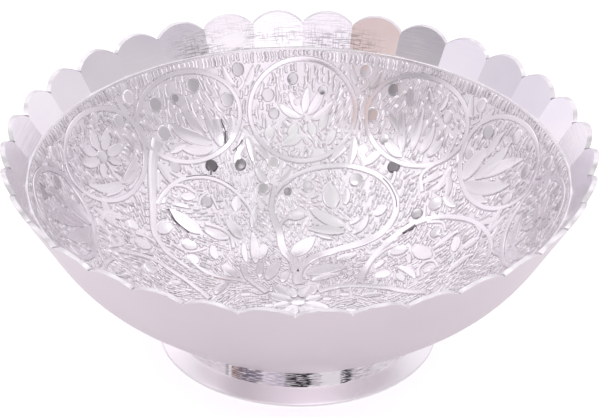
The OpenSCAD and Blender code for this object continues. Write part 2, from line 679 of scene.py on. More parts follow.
@dataclass
class TurnedRing:
    """A solid ring turned to a closed section, such as the foot or the seam."""

    name: str
    section: list[tuple[float, float, int]]
    count: int = 288
    crease: float = 25.0

    def build(self, repeat: RoundRepeat, finishes: Sequence[bpy.types.Material]) -> bpy.types.Object:
        """Sweeps the section round the axis.

        Args:
            repeat: The node tree that repeats a sector round the axis.
            finishes: Four materials, chosen for the face after each point by the point's number.

        Returns:
            The finished piece.
        """
        n, half = len(self.section), math.pi / self.count
        points = [(r * math.cos(a), r * math.sin(a), z) for a in (-half, half) for r, z, _ in self.section]
        faces = [(i, n + i, n + (i + 1) % n, (i + 1) % n) for i in range(n)]
        sector = mesh_object(self.name + "_sector", points, faces)
        sector.data.attributes.new("zone", "INT", "FACE").data.foreach_set(
            "value", [zone for _, _, zone in self.section])
        piece = repeat.run(sector, self.name, self.count, finishes)
        turn_outwards(piece)
        smooth_with_creases(piece, self.crease)
        return piece


# The chased pattern


@dataclass(frozen=True)
class Blade:
    """A leaf or petal in the development: where it starts, its tip, width and bend."""

    base: Point
    tip: Point
    width: float
    bend: float = 0.0

    def line(self) -> tuple[np.ndarray, np.ndarray]:
        """Points along its rib and its half width at each.

        Returns:
            The points and the half widths.
        """
        t = np.linspace(0.0, 1.0, 13)
        a, b = np.array(self.base), np.array(self.tip)
        side = np.array([-(b - a)[1], (b - a)[0]]) * self.bend
        mid = (a + b) / 2 + side
        points = ((1 - t) ** 2)[:, None] * a + (2 * t * (1 - t))[:, None] * mid + (t * t)[:, None] * b
        widths = self.width / 2 * np.sin(math.pi * np.clip(t, 0.02, 0.985) ** 0.8) ** 0.66
        return points, widths


@dataclass(frozen=True)
class Berry:
    """A flat round berry and its painted reflection: a tone that darkens it where it would mirror something
    dark, its own or one drawn at random.
    """

    centre: Point
    r: float
    tone: float | None = None


@dataclass(frozen=True)
class Vine:
    """A stem through given points, with its width at each end."""

    points: tuple[Point, ...]
    width: float
    end_width: float | None = None
    closed: bool = False

    def line(self) -> tuple[np.ndarray, np.ndarray]:
        """A smooth line through the points, about a millimetre a step, and its half widths.

        Returns:
            The points and the half widths.
        """
        raw = [np.array(p) for p in self.points]
        n = len(raw)
        out: list[np.ndarray] = []
        for i in range(n if self.closed else n - 1):
            near = (k % n if self.closed else min(max(k, 0), n - 1) for k in range(i - 1, i + 3))
            p0, p1, p2, p3 = (raw[k] for k in near)
            steps = max(2, round(float(np.linalg.norm(p2 - p1)) / 1.1))
            for s in range(steps):
                t = s / steps
                out.append(0.5 * (2 * p1 + (p2 - p0) * t + (2 * p0 - 5 * p1 + 4 * p2 - p3) * t * t
                                  + (3 * p1 - p0 - 3 * p2 + p3) * t ** 3))
        if not self.closed:
            out.append(raw[-1])
        last = self.width if self.end_width is None else self.end_width
        widths = np.linspace(self.width, last, len(out)) / 2
        return np.array(out), widths


@dataclass
class Pattern:
    """All motifs of the chased field, in the development."""

    vines: list[Vine] = field(default_factory=list)
    blades: list[Blade] = field(default_factory=list)
    berries: list[Berry] = field(default_factory=list)
    # Thin dark strips along vine edges: painted reflection of something dark
    cuts: list[Vine] = field(default_factory=list)

    def add_placed(self, motifs: Iterable[Vine | Blade | Berry], centre: Point, turn: float,
                   scale: Point = (1.0, 1.0)) -> None:
        """Adds motifs drawn about their own origin.

        Args:
            motifs: The motifs, with +y pointing away from the middle of the bowl.
            centre: Where their origin goes.
            turn: Direction of their +y, in radians from +x.
            scale: Stretch across and along.
        """
        c, s = math.cos(turn - math.pi / 2), math.sin(turn - math.pi / 2)
        size = (abs(scale[0]) + abs(scale[1])) / 2
        flip = -1.0 if scale[0] < 0 else 1.0

        def put(p: Point) -> Point:
            """Turns, stretches and shifts one point."""
            x, y = p[0] * scale[0], p[1] * scale[1]
            return (centre[0] + c * x - s * y, centre[1] + s * x + c * y)

        for motif in motifs:
            if isinstance(motif, Vine):
                self.vines.append(Vine(tuple(put(p) for p in motif.points), motif.width, motif.end_width,
                                       motif.closed))
            elif isinstance(motif, Blade):
                self.blades.append(Blade(put(motif.base), put(motif.tip), motif.width * size,
                                         motif.bend * flip))
            else:
                self.berries.append(Berry(put(motif.centre), motif.r * size, motif.tone))

    def add_ring(self, centre: Point, across: float, along: float, width: float) -> None:
        """Adds a ring of vine.

        Args:
            centre: Its middle.
            across: Half its size round the bowl.
            along: Half its size away from the middle.
            width: Width of the vine.
        """
        turns = [2 * math.pi * i / 18 for i in range(18)]
        ring = tuple((across * math.sin(turn), along * math.cos(turn)) for turn in turns)
        self.add_placed([Vine(ring, width, closed=True)], centre, math.atan2(centre[1], centre[0]))

    def add_medallion(self, centre: Point, across: float, along: float, kind: SprayKind, mirror: bool,
                      width: float = 1.5) -> None:
        """Adds a ring of vine with a spray of leaves in it.

        Args:
            centre: Middle of the ring.
            across: Half its size round the bowl.
            along: Half its size away from the middle.
            kind: Which spray fills it.
            mirror: Whether the spray is mirrored.
            width: Width of the ring's vine.
        """
        turn = math.atan2(centre[1], centre[0])
        self.add_ring(centre, across, along, width)
        stretch = (across / SPRAY_HALF[0] * (-1 if mirror else 1), along / SPRAY_HALF[1])
        self.add_placed(SPRAYS[kind], centre, turn, stretch)


# Half width and half length of the medallion that the sprays are drawn for
SPRAY_HALF: Point = (16.3, 13.9)
SPRAYS: dict[SprayKind, list[Vine | Blade | Berry]] = {
    SprayKind.FAN: [
        Blade((7.0, -12.0), (-7.6, -3.0), 4.8, 0.12), Blade((6.4, -12.2), (-4.6, -11.2), 3.6, 0.16),
        Blade((4.8, -7.6), (-6.6, 5.2), 4.2, -0.10), Blade((5.4, -8.6), (1.6, 5.8), 4.6, 0.08),
        Blade((8.0, -11.2), (7.4, 0.6), 5.4, -0.24), Blade((6.6, -1.6), (5.8, 8.0), 2.8, -0.2),
        Berry((0.2, 9.5), 2.3), Berry((-10.8, 2.8), 2.3), Berry((11.2, 4.6), 2.3),
        Berry((-10.2, -7.2), 2.2), Berry((-6.6, 9.6), 1.6), Berry((12.4, -4.4), 1.7),
        Vine(((2.0, 5.0), (1.2, 7.4)), 0.8), Vine(((8.6, 1.4), (10.6, 3.2)), 0.8)],
    SprayKind.LOTUS: [
        Blade((0.0, 2.2), (0.6, 8.8), 3.6, 0.06), Blade((-1.4, 1.8), (-6.4, 7.2), 3.4, 0.12),
        Blade((1.4, 1.6), (7.0, 6.2), 3.4, -0.12), Blade((-2.0, 0.0), (-9.0, 1.8), 3.2, 0.12),
        Blade((2.0, -0.2), (9.2, -0.6), 3.2, -0.10), Blade((-1.0, -1.8), (-4.6, -6.0), 2.6, -0.1),
        Blade((1.2, -1.8), (5.0, -5.8), 2.6, 0.1), Blade((0.2, -9.6), (-11.2, -4.6), 3.2, 0.22),
        Blade((0.4, -9.8), (11.2, -5.4), 3.2, -0.22), Blade((-0.6, -11.0), (-7.8, -10.4), 2.8, -0.14),
        Blade((1.0, -11.0), (8.4, -10.4), 2.8, 0.14), Vine(((0.2, -2.2), (0.0, -6.0), (0.4, -10.0)), 1.0),
        Berry((0.0, 0.0), 2.2), Berry((-12.2, 6.6), 2.0), Berry((12.2, 5.2), 2.2), Berry((4.6, 10.9), 1.7),
        Berry((-3.8, 11.3), 1.6)],
    SprayKind.CURL: [
        Blade((2.0, -6.4), (0.6, 8.8), 3.8, -0.10), Blade((3.4, -5.4), (9.4, 4.6), 3.2, -0.22),
        Blade((1.0, -6.6), (-7.2, 2.8), 3.4, -0.14), Blade((0.8, -8.4), (-9.8, -6.2), 3.2, 0.16),
        Blade((4.2, -7.6), (11.4, -4.0), 3.2, 0.14), Blade((3.0, -9.6), (8.4, -10.8), 3.0, 0.16),
        Blade((-3.8, 3.6), (-7.0, 9.4), 3.2, 0.18),
        Vine(((2.6, -13.4), (3.2, -9.4), (2.4, -6.0)), 1.4, 1.2), Berry((-12.2, -0.6), 2.3),
        Berry((-2.6, 11.3), 1.6), Berry((11.6, 7.0), 2.0), Berry((5.4, 10.0), 2.0)],
}


def polar(at: float, out: float) -> Point:
    """Point of the development at an angle in degrees and an arc length from the middle."""
    return (out * math.cos(math.radians(at)), out * math.sin(math.radians(at)))


# Leaves of the three medallions at the back: angle and arc length of base and tip, width, bend
BACK_LEAVES: tuple[tuple[float, ...], ...] = (
    (113.4, 60.0, 112.4, 68.6, 3.6, 0.05), (115.6, 61.6, 125.6, 69.6, 4.2, 0.1),
    (115.8, 60.2, 125.0, 62.4, 3.6, 0.12), (116.6, 63.2, 120.9, 73.8, 2.6, 0.06),
    (114.4, 61.6, 115.2, 72.4, 2.2, -0.04), (110.6, 60.6, 108.2, 68.2, 2.6, -0.1),
    (120.2, 73.4, 122.2, 77.0, 3.0, 0.0), (130.4, 62.0, 131.6, 65.6, 1.6, 0.0),
    (127.4, 62.0, 128.4, 65.2, 1.6, 0.0), (99.2, 59.8, 98.2, 64.4, 3.0, 0.08),
    (92.8, 60.2, 91.2, 64.6, 3.2, 0.1), (86.4, 60.8, 88.0, 65.4, 2.6, -0.1),
    (89.8, 67.2, 93.0, 73.6, 2.5, 0.12), (89.2, 67.4, 88.4, 74.6, 2.5, 0.05),
    (88.2, 67.0, 84.6, 75.0, 2.9, -0.08), (90.4, 66.2, 96.0, 70.2, 2.3, 0.12),
    (87.4, 65.6, 82.0, 71.2, 2.5, -0.14), (84.6, 62.6, 83.2, 68.4, 2.6, 0.06),
    (89.8, 60.6, 95.8, 58.2, 3.2, -0.1), (82.4, 58.6, 80.4, 63.4, 2.6, 0.1),
    (57.6, 61.6, 58.6, 74.0, 2.8, 0.04), (54.8, 61.4, 54.4, 71.0, 2.8, -0.06),
    (60.0, 60.6, 64.0, 72.4, 2.8, 0.08), (61.6, 64.0, 68.2, 70.6, 2.0, -0.1),
    (52.6, 61.6, 50.4, 68.0, 2.8, -0.1), (62.0, 73.2, 63.2, 78.4, 3.0, 0.1),
    (54.4, 74.4, 53.4, 79.4, 2.4, -0.1), (59.6, 59.4, 66.6, 63.4, 3.0, 0.14),
    (56.4, 75.2, 58.6, 79.6, 1.8, 0.1))

# Berries there: angle, arc length, radius, tone; the tone is painted reflection, low where a berry mirrors
# something dark
BACK_BERRIES: tuple[tuple[float, float, float, float], ...] = (
    (127.6, 75.8, 2.3, 0.66), (116.8, 78.0, 2.3, 0.66), (108.8, 72.4, 2.2, 0.7), (128.0, 67.8, 2.3, 0.8),
    (122.0, 75.8, 1.5, 0.55), (98.4, 72.6, 2.2, 0.72), (97.2, 67.4, 1.8, 0.66), (92.2, 76.8, 1.9, 0.6),
    (91.2, 70.4, 1.3, 0.8), (98.6, 53.4, 2.0, 0.85), (84.8, 73.8, 1.7, 0.75), (71.4, 68.8, 2.2, 0.75),
    (71.2, 58.6, 1.9, 1.0), (67.4, 76.6, 2.0, 0.5), (51.4, 73.6, 2.0, 0.85), (66.4, 62.8, 1.7, 0.7))

# The visible half of the inner scroll. Vines: points, width at the start and at the end
HALF_VINES: tuple[tuple[tuple[Point, ...], float, float], ...] = (
    (((0.2, 8.6), (-0.4, 13.0), (1.2, 18.6), (4.8, 22.8), (10.8, 25.6), (17.6, 27.5), (23.0, 29.8),
      (26.5, 33.6), (27.2, 38.2), (25.6, 43.4), (21.6, 48.0), (14.8, 51.3), (7.6, 51.9), (1.6, 50.8),
     (-4.0, 47.6), (-7.4, 43.2)), 2.7, 1.2),
    (((-40.6, 30.6), (-38.6, 36.2), (-35.0, 41.2), (-30.2, 43.9), (-25.8, 44.8), (-21.4, 44.1),
      (-17.6, 41.9), (-14.0, 38.2), (-12.0, 33.0)), 1.5, 0.9),
    (((16.3, 9.4), (17.2, 14.8), (19.4, 20.4), (23.0, 24.8), (28.2, 28.0), (33.4, 29.2), (38.4, 28.4),
      (43.2, 26.2), (47.6, 22.8), (51.0, 18.6), (53.5, 13.2), (54.2, 8.8), (53.6, 3.6),
     (51.6, -0.6)), 1.9, 1.4),
    (((-0.4, 14.6), (-1.4, 20.2), (-4.4, 26.0), (-5.4, 31.8), (-7.0, 36.0), (-8.0, 40.0),
      (-7.4, 46.0)), 3.2, 1.2), (((-14.8, 18.2), (-14.2, 13.8), (-12.4, 9.8), (-8.2, 4.4)), 1.6, 1.7),
    (((-28.2, 15.6), (-24.6, 12.9), (-20.0, 11.3), (-14.8, 10.2)), 1.2, 1.4),
    (((-43.4, 50.4), (-43.6, 44.0), (-43.0, 37.6), (-41.9, 30.0), (-40.7, 22.0), (-39.2, 19.0),
      (-36.6, 16.4), (-33.0, 14.6), (-29.2, 13.0)), 3.8, 1.0),
    (((-50.4, 5.4), (-44.2, 9.0), (-39.6, 10.4), (-34.9, 10.0), (-29.9, 7.6), (-26.0, 4.5),
      (-23.2, 0.8)), 1.3, 1.5), (((-45.8, 16.8), (-42.6, 17.6), (-39.8, 17.2)), 0.9, 1.0),
    (((-5.4, 33.0), (-4.8, 35.4), (-2.8, 36.9)), 0.8, 0.9),
    (((-26.2, 30.4), (-21.6, 30.3), (-18.8, 28.5), (-17.6, 24.6)), 1.0, 0.9),
    (((-38.8, 35.0), (-37.2, 38.4), (-33.6, 39.9), (-29.8, 39.1)), 1.1, 0.8),
    (((-28.5, 35.6), (-28.2, 38.2), (-26.5, 40.1)), 0.6, 0.6), (((-25.2, 39.6), (-22.8, 36.0)), 0.7, 0.6),
    (((-34.8, 19.6), (-29.6, 19.3), (-25.0, 22.6)), 0.9, 0.7), (((-26.1, 45.4), (-26.0, 47.0)), 1.2, 1.2),
    (((-17.4, 60.0), (-18.6, 55.6), (-18.0, 52.4)), 1.3, 1.0),
    (((20.4, 20.8), (23.2, 23.3), (26.6, 23.9)), 0.8, 0.6),
    (((50.2, 13.3), (51.4, 15.4), (50.2, 19.0)), 0.9, 0.8),
    (((32.0, 9.6), (32.1, 12.6), (34.5, 14.3), (37.0, 13.0), (37.7, 10.4)), 1.1, 0.8),
    (((5.2, 5.2), (10.6, 7.8), (17.0, 8.3), (23.7, 6.9), (28.0, 4.6), (33.8, 1.6)), 1.9, 1.6),
    (((35.8, 28.0), (40.2, 25.8), (40.9, 22.4)), 0.9, 0.7),
    (((35.2, 38.4), (35.3, 43.4), (38.6, 45.4), (42.4, 46.2), (45.6, 48.6), (47.8, 51.6)), 1.3, 1.0),
    (((31.0, 49.6), (34.4, 46.7), (38.2, 45.3)), 0.8, 0.8), (((35.0, 29.4), (35.6, 33.6)), 0.8, 0.8),
    (((26.4, 43.8), (27.6, 46.2), (27.3, 47.6)), 0.9, 0.9),
    (((54.2, 4.4), (57.4, -2.4), (58.2, -8.6)), 1.2, 0.9),
    (((-50.8, 20.4), (-55.4, 17.8), (-56.6, 14.0)), 1.2, 0.9))

# Its leaves: base, tip, width and, where it isn't 0, bend
HALF_LEAVES: tuple[tuple, ...] = (
    ((9.5, 39.4), (8.4, 46.9), 4.9, 0.06), ((2.9, 43.0), (5.3, 43.8), 1.3),
    ((-3.2, 36.8), (2.0, 37.8), 2.7, 0.05), ((12.3, 33.6), (2.6, 39.7), 3.3, 0.05),
    ((12.1, 31.6), (2.3, 33.3), 3.2, -0.06), ((9.2, 29.5), (4.0, 31.5), 1.4),
    ((14.4, 30.8), (19.0, 36.7), 2.2, -0.26), ((13.6, 33.8), (17.6, 35.6), 1.6, 0.1),
    ((20.6, 35.4), (24.9, 37.5), 2.7), ((12.5, 40.0), (13.2, 45.2), 2.3, -0.12),
    ((-27.0, 27.2), (-37.3, 30.9), 4.7, 0.06), ((-30.6, 33.9), (-36.6, 32.6), 1.3, -0.12),
    ((-19.2, 27.6), (-26.8, 28.5), 3.0), ((-15.7, 28.4), (-20.6, 34.5), 2.8, 0.06),
    ((-34.0, 36.2), (-29.5, 38.0), 2.5), ((-18.0, 36.8), (-17.8, 41.5), 2.9),
    ((-32.0, 21.2), (-27.4, 22.2), 3.5), ((-22.0, 19.0), (-23.3, 24.4), 2.4, 0.12),
    ((-39.3, 21.4), (-35.2, 26.6), 4.3, 0.12), ((-45.8, 13.4), (-40.4, 15.2), 3.9),
    ((-15.8, 11.7), (-20.6, 18.0), 3.6, 0.05), ((-11.5, 19.0), (-12.8, 31.2), 2.7, -0.05),
    ((-10.6, 20.8), (-8.6, 27.4), 2.9, 0.1), ((-14.0, 19.4), (-15.0, 27.6), 1.6, 0.05),
    ((-8.2, 10.6), (-5.0, 20.9), 3.4, 0.05), ((-10.2, 11.8), (-9.9, 19.8), 1.9, 0.06),
    ((-1.5, 22.4), (4.2, 30.3), 4.8, 0.12), ((-12.9, 32.6), (-12.2, 39.8), 2.0, 0.05),
    ((-1.6, 3.0), (-6.6, 8.4), 4.2, 0.05), ((1.6, 3.2), (4.0, 8.8), 4.0, -0.1),
    ((-4.2, 9.6), (-2.6, 15.4), 2.2, 0.1), ((24.5, 22.0), (29.7, 21.6), 3.3),
    ((36.1, 15.4), (30.7, 22.0), 4.2, 0.06), ((29.6, 16.0), (29.8, 20.4), 1.4),
    ((36.6, 17.6), (45.2, 20.0), 1.9, 0.12), ((43.1, 13.0), (44.3, 18.8), 3.0),
    ((45.7, 12.4), (50.9, 13.1), 3.2), ((40.7, 5.7), (48.8, 7.4), 2.6, 0.24),
    ((30.9, 9.4), (25.4, 16.2), 2.0, -0.24), ((27.8, 9.4), (26.0, 13.8), 2.2),
    ((2.2, 13.6), (12.9, 17.5), 5.0, 0.14), ((3.6, 10.4), (11.4, 14.0), 2.3, 0.1),
    ((10.1, 21.0), (15.6, 23.1), 2.7, 0.1), ((44.6, 29.2), (41.6, 34.8), 2.2, 0.14),
    ((18.8, 51.0), (24.6, 54.2), 2.6, 0.12), ((54.4, 14.0), (59.4, 19.4), 2.8, 0.12),
    ((-52.4, 16.0), (-57.6, 23.0), 3.0, 0.14), ((-48.6, 11.4), (-53.4, 4.2), 2.8, -0.12),
    ((-5.8, 46.2), (-2.2, 51.8), 2.4, -0.14), ((-9.2, 46.4), (-13.2, 51.6), 2.6, 0.14),
    ((-39.6, 31.6), (-39.0, 34.4), 1.8), ((-38.8, 48.6), (-33.8, 53.0), 2.6, 0.1),
    ((-21.6, 3.2), (-18.4, 9.8), 2.4, 0.1), ((-34.4, 3.6), (-30.6, 6.4), 2.0),
    ((16.4, 3.0), (22.6, 4.2), 2.2, 0.1), ((20.2, 16.6), (23.2, 19.4), 1.8, 0.1))

# Its berries: place, radius, tone; the tone is painted reflection, low where a berry mirrors something dark
HALF_BERRIES: tuple[tuple[float, float, float, float], ...] = (
    (16.0, 47.0, 2.1, 0.72), (2.0, 46.2, 1.9, 0.75), (-3.5, 44.6, 1.2, 0.45), (-26.4, 37.2, 1.8, 0.6),
    (-26.0, 48.6, 1.9, 0.08), (-17.6, 50.9, 1.9, 0.25), (-36.8, 44.6, 2.1, 0.68), (-10.4, 44.7, 2.0, 0.66),
    (-28.3, 17.2, 1.9, 1.0), (-46.9, 19.4, 1.9, 1.0), (-40.2, 6.1, 2.2, 0.95), (-56.6, 12.6, 2.0, 0.9),
    (27.3, 48.8, 2.0, 0.15), (38.8, 33.0, 2.3, 0.8), (33.0, 32.2, 1.8, 0.5), (38.0, 23.4, 1.9, 0.75),
    (37.2, 0.6, 1.8, 0.9), (34.6, 11.3, 1.5, 0.9), (-52.2, 8.6, 1.8, 0.9), (7.6, 1.8, 1.3, 0.9),
    (12.2, 4.2, 1.4, 0.9), (-13.8, 3.6, 1.5, 0.9), (22.2, 13.9, 2.3, 1.0))

# Painted dark reflections along vine edges, made as thin dark strips on the relief, which the hidden half
# doesn't repeat: points, width at the start and at the end
PAINTED_DARK_EDGES: tuple[tuple[tuple[Point, ...], float, float], ...] = (
    (((24.0, 45.9), (25.8, 43.2), (27.3, 39.0), (27.4, 36.0)), 0.45, 0.4),
    (((28.4, 27.2), (30.4, 27.7), (32.4, 28.3)), 0.4, 1.4),
    (((-33.2, 42.8), (-30.0, 44.4), (-26.0, 45.3), (-21.4, 44.7), (-18.6, 43.3)), 0.4, 0.3),
    (((-37.2, 30.7), (-34.6, 27.6), (-30.4, 25.8)), 0.6, 0.3), (((-26.05, 45.6), (-26.0, 47.4)), 1.0, 1.1),
    ((polar(106.8, 60.8), polar(108.2, 59.2), polar(110.4, 58.0)), 0.8, 0.4),
    ((polar(111.4, 67.4), polar(111.0, 63.8), polar(111.8, 60.4)), 0.3, 0.7))


@dataclass
class ChasedField:
    """Lays out the floral scroll, which Relief makes in relief."""

    dish: DishCurve = field(default_factory=DishCurve)
    outer_n: int = 12
    outer_start: float = 89.6
    outer_ring_at: float = 69.8
    back_ring_at: Point = (0.4, 68.0)
    high_sprig_at: float = 80.2
    low_sprig_at: float = 55.6
    ring_w: float = 1.4
    outer_across: float = 17.5
    outer_along: float = 12.4
    mark_pitch: float = 1.26
    mark_length: float = 3.7
    mark_w: float = 1.08
    mark_share: float = 0.95
    peck_tries: int = 5200
    seed: int = 705

    @property
    def reach(self) -> float:
        """Arc length of the matted ground, from the middle to the border."""
        line = self.ground_line()
        return float(sum(math.dist(a, b) for a, b in zip(line, line[1:])))

    def ground_line(self) -> list[Point]:
        """The matted ground's section, from the middle to the border, as radius and height."""
        inset, end_z = self.dish.wall - self.dish.ground_depth, self.dish.ground_z
        return self.dish.curve(inset, 2.0) + [(self.dish.flare_at(inset, end_z), end_z)]

    def lay_out(self) -> Pattern:
        """Draws every motif.

        Returns:
            The whole pattern.
        """
        made = Pattern()
        self.outer_row(made)
        made.blades += [Blade(polar(*row[:2]), polar(*row[2:4]), *row[4:]) for row in BACK_LEAVES]
        made.berries += [Berry(polar(at, out), r, tone) for at, out, r, tone in BACK_BERRIES]
        half = [*(Vine(*row) for row in HALF_VINES), *(Blade(*row) for row in HALF_LEAVES),
                *(Berry((x, y), r, tone) for x, y, r, tone in HALF_BERRIES)]
        for turn in (0.0, math.pi):
            made.add_placed(half, (0.0, 0.0), math.pi / 2 + turn)
        made.cuts += [Vine(*row) for row in PAINTED_DARK_EDGES]
        self.rosette(made)
        return made

    def outer_row(self, made: Pattern) -> None:
        """Draws the row of medallions, with a sprig above and below each gap between two.

        Args:
            made: Receives the motifs.
        """
        rng = random.Random(self.seed)
        kinds = (SprayKind.LOTUS, SprayKind.CURL, SprayKind.FAN)
        high_sprig = [Berry((0.2, 0.0), 2.15), Vine(((-0.6, -5.6), (1.6, -3.6), (0.4, -1.4)), 0.9, 0.8),
                      Blade((-1.4, -4.4), (-4.8, 1.6), 2.0, 0.2), Blade((1.8, -4.6), (5.4, 0.8), 2.0, -0.2)]
        low_sprig = [Blade((0.0, 6.0), (0.4, -2.4), 2.6, 0.1), Blade((-1.0, 3.6), (-5.4, -2.6), 2.2, -0.16),
                     Blade((1.0, 3.6), (5.2, -2.8), 2.2, 0.16)]
        for i in range(self.outer_n):
            at = self.outer_start - 360 / self.outer_n * i + rng.uniform(-0.8, 0.8)
            centre = polar(at, self.outer_ring_at)
            if i == 0:
                made.add_ring(self.back_ring_at, self.outer_across - 1.1, self.outer_along + 1.9, self.ring_w)
            elif i in (1, self.outer_n - 1):
                made.add_ring(centre, self.outer_across, self.outer_along, self.ring_w)
            else:
                made.add_medallion(centre, self.outer_across, self.outer_along, kinds[(i + i // 4) % 3],
                                   i in (2, 5, 8))
            gap = at - 180 / self.outer_n
            made.add_placed(high_sprig, polar(gap, self.high_sprig_at), math.radians(gap))
            made.add_placed(low_sprig, polar(gap, self.low_sprig_at), math.radians(gap))

    def rosette(self, made: Pattern) -> None:
        """Draws the eight petals and the berry in the middle, every other petal smaller.

        Args:
            made: Receives the motifs.
        """
        small, large = Blade((0.0, 2.2), (0.0, 7.0), 3.0), Blade((0.0, 2.2), (0.0, 8.6), 4.2)
        for i in range(8):
            made.add_placed([large if i % 2 else small], (0.0, 0.0), math.pi * (i + 0.5) / 4)
        made.berries.append(Berry((0.0, 0.0), 2.0))


@dataclass
class GroundMask:
    """Which of the development's small cells a motif covers."""

    size: float = 92.0
    cell: float = 0.2

    def __post_init__(self) -> None:
        """Starts with every cell free."""
        n = int(2 * self.size / self.cell)
        self.covered = np.zeros((n, n), dtype=bool)

    def cover(self, x: float, y: float, r: float) -> None:
        """Marks a disc as covered.

        Args:
            x: Its middle across.
            y: Its middle along.
            r: Its radius.
        """
        i0, i1 = (int((x + s * r + self.size) / self.cell) for s in (-1, 1))
        j0, j1 = (int((y + s * r + self.size) / self.cell) for s in (-1, 1))
        cx = (np.arange(i0, i1 + 1) + 0.5) * self.cell - self.size - x
        cy = (np.arange(j0, j1 + 1) + 0.5) * self.cell - self.size - y
        self.covered[j0:j1 + 1, i0:i1 + 1] |= (cx[None, :] ** 2 + cy[:, None] ** 2) <= r * r

    def cover_line(self, points: np.ndarray, widths: np.ndarray, margin: float) -> None:
        """Marks a swept line as covered, with a margin beside it.

        Args:
            points: The line's points.
            widths: Its half width at each.
            margin: How far beside it the ground is covered too.
        """
        for a, b, wa, wb in zip(points, points[1:], widths, widths[1:]):
            for t in (0.0, 0.5):
                x, y = a + (b - a) * t
                self.cover(float(x), float(y), float(wa + (wb - wa) * t) + margin)

    def free(self, x: np.ndarray, y: np.ndarray) -> np.ndarray:
        """Says which of some points lie on free ground.

        Args:
            x: Places across.
            y: Places along.

        Returns:
            True where the ground is free.
        """
        i = ((x + self.size) / self.cell).astype(int)
        j = ((y + self.size) / self.cell).astype(int)
        return ~self.covered[j, i]


@dataclass
class Matting:
    """Fills the free ground with struck marks, which keep clear of the motifs and of one another."""

    plan: ChasedField
    mask: GroundMask
    edge_in: float = 1.6
    edge_gap: float = 1.56
    edge_length: float = 3.1
    patch: float = 10.0
    patches_in: float = 3.6
    patch_tilts: tuple[float, ...] = (0.0, 0.0, 12.0, -12.0, 24.0, -24.0, 36.0, 66.0)
    end_gap: float = 0.3
    middle_r: float = 2.4
    sample: float = 0.2

    def __post_init__(self) -> None:
        """Starts with no marks."""
        self.rng = random.Random(self.plan.seed)
        self.reach = self.plan.reach
        self.made: list[tuple[float, ...]] = []

    def fill(self) -> list[tuple[float, ...]]:
        """Strikes the marks: a row along the border, then patches, then single pecks.

        Returns:
            Place, turn, length, width and tone of each mark.
        """
        self.edge_row()
        self.patches()
        for _ in range(self.plan.peck_tries):
            at, out = self.rng.uniform(0, 2 * math.pi), self.reach * math.sqrt(self.rng.uniform(0.0, 1.0))
            self.strike(out * math.cos(at), out * math.sin(at), at + self.rng.uniform(-0.6, 0.6),
                        self.rng.uniform(0.9, 1.8))
        log.info("matting marks: %d", len(self.made))
        return self.made

    def edge_row(self) -> None:
        """Strikes one mark beside the other along the border, each pointing outwards."""
        ring = self.reach - self.edge_in
        count = int(2 * math.pi * ring / self.edge_gap)
        for i in range(count):
            at = 2 * math.pi * (i + self.rng.uniform(-0.12, 0.12)) / count
            self.strike(ring * math.cos(at), ring * math.sin(at), at + self.rng.uniform(-0.12, 0.12),
                        self.edge_length)

    def patch_seeds(self) -> list[tuple[float, float, float]]:
        """Middle and direction of each patch, on a loose honeycomb.

        Returns:
            Place and turn of each.
        """
        made, rng = [], self.rng
        for row in range(-11, 12):
            for col in range(-10, 11):
                x = (col + 0.5 * (row % 2) + rng.uniform(-0.25, 0.25)) * self.patch
                y = (row + rng.uniform(-0.25, 0.25)) * self.patch * 0.866
                if math.hypot(x, y) < self.reach + 2:
                    tilt = rng.choice(self.patch_tilts)
                    made.append((x, y, math.atan2(y, x) + math.radians(tilt + rng.uniform(-8, 8))))
        return made

    def patches(self) -> None:
        """Strikes parallel marks round each seed, as far as no other seed is nearer."""
        seeds = self.patch_seeds()
        places = np.array([(x, y) for x, y, _ in seeds])
        for k, (sx, sy, turn) in enumerate(seeds):
            fine = self.fineness(sx, sy)
            length, pitch = self.plan.mark_length * fine, self.plan.mark_pitch * fine
            c, s = math.cos(turn), math.sin(turn)
            for a in range(-4, 5):
                for b in range(-8, 9):
                    shift = (a + 0.5 * (b % 2)) * (length + self.end_gap)
                    x, y = sx + c * shift - s * b * pitch, sy + s * shift + c * b * pitch
                    near = int(np.argmin((places[:, 0] - x) ** 2 + (places[:, 1] - y) ** 2))
                    if near == k and math.hypot(x, y) < self.reach - self.patches_in:
                        self.strike(x, y, turn, length + self.rng.uniform(-0.3, 0.5))

    def fineness(self, x: float, y: float) -> float:
        """Size of the matting at a place: nearer to the middle the strokes are shorter and closer."""
        return float(np.interp(math.hypot(x, y), (34.0, 50.0, 66.0), (0.74, 0.92, 1.22)))

    def strike(self, x: float, y: float, turn: float, length: float) -> None:
        """Adds a mark where the ground is free, cut short beside a motif.

        Args:
            x: Middle across.
            y: Middle along.
            turn: Its direction.
            length: Its full length.
        """
        c, s, rng = math.cos(turn), math.sin(turn), self.rng
        t = np.arange(-length / 2, length / 2 + 0.01, self.sample)
        px, py = x + t * c, y + t * s
        out = np.hypot(px, py)
        good = self.mask.free(px, py) & (out < self.reach - 0.02) & (out > self.middle_r)
        best, start = (0, 0), None
        for i, ok in enumerate([*good, False]):
            if ok and start is None:
                start = i
            elif not ok and start is not None:
                best = (start, i) if i - start > best[1] - best[0] else best
                start = None
        if best[1] - best[0] < 4:
            return
        a, b = t[best[0]] - 0.08, t[best[1] - 1] + 0.08
        mid = (a + b) / 2
        width = self.plan.mark_w * self.fineness(x, y) * rng.uniform(0.88, 1.1)
        self.made.append((x + mid * c, y + mid * s, turn + rng.uniform(-0.06, 0.06), b - a,
                          width * rng.choice((1, -1)), rng.random()))
        for q in np.arange(a, b, 0.3):
            self.mask.cover(x + q * c, y + q * s, width / 2 + 0.02)


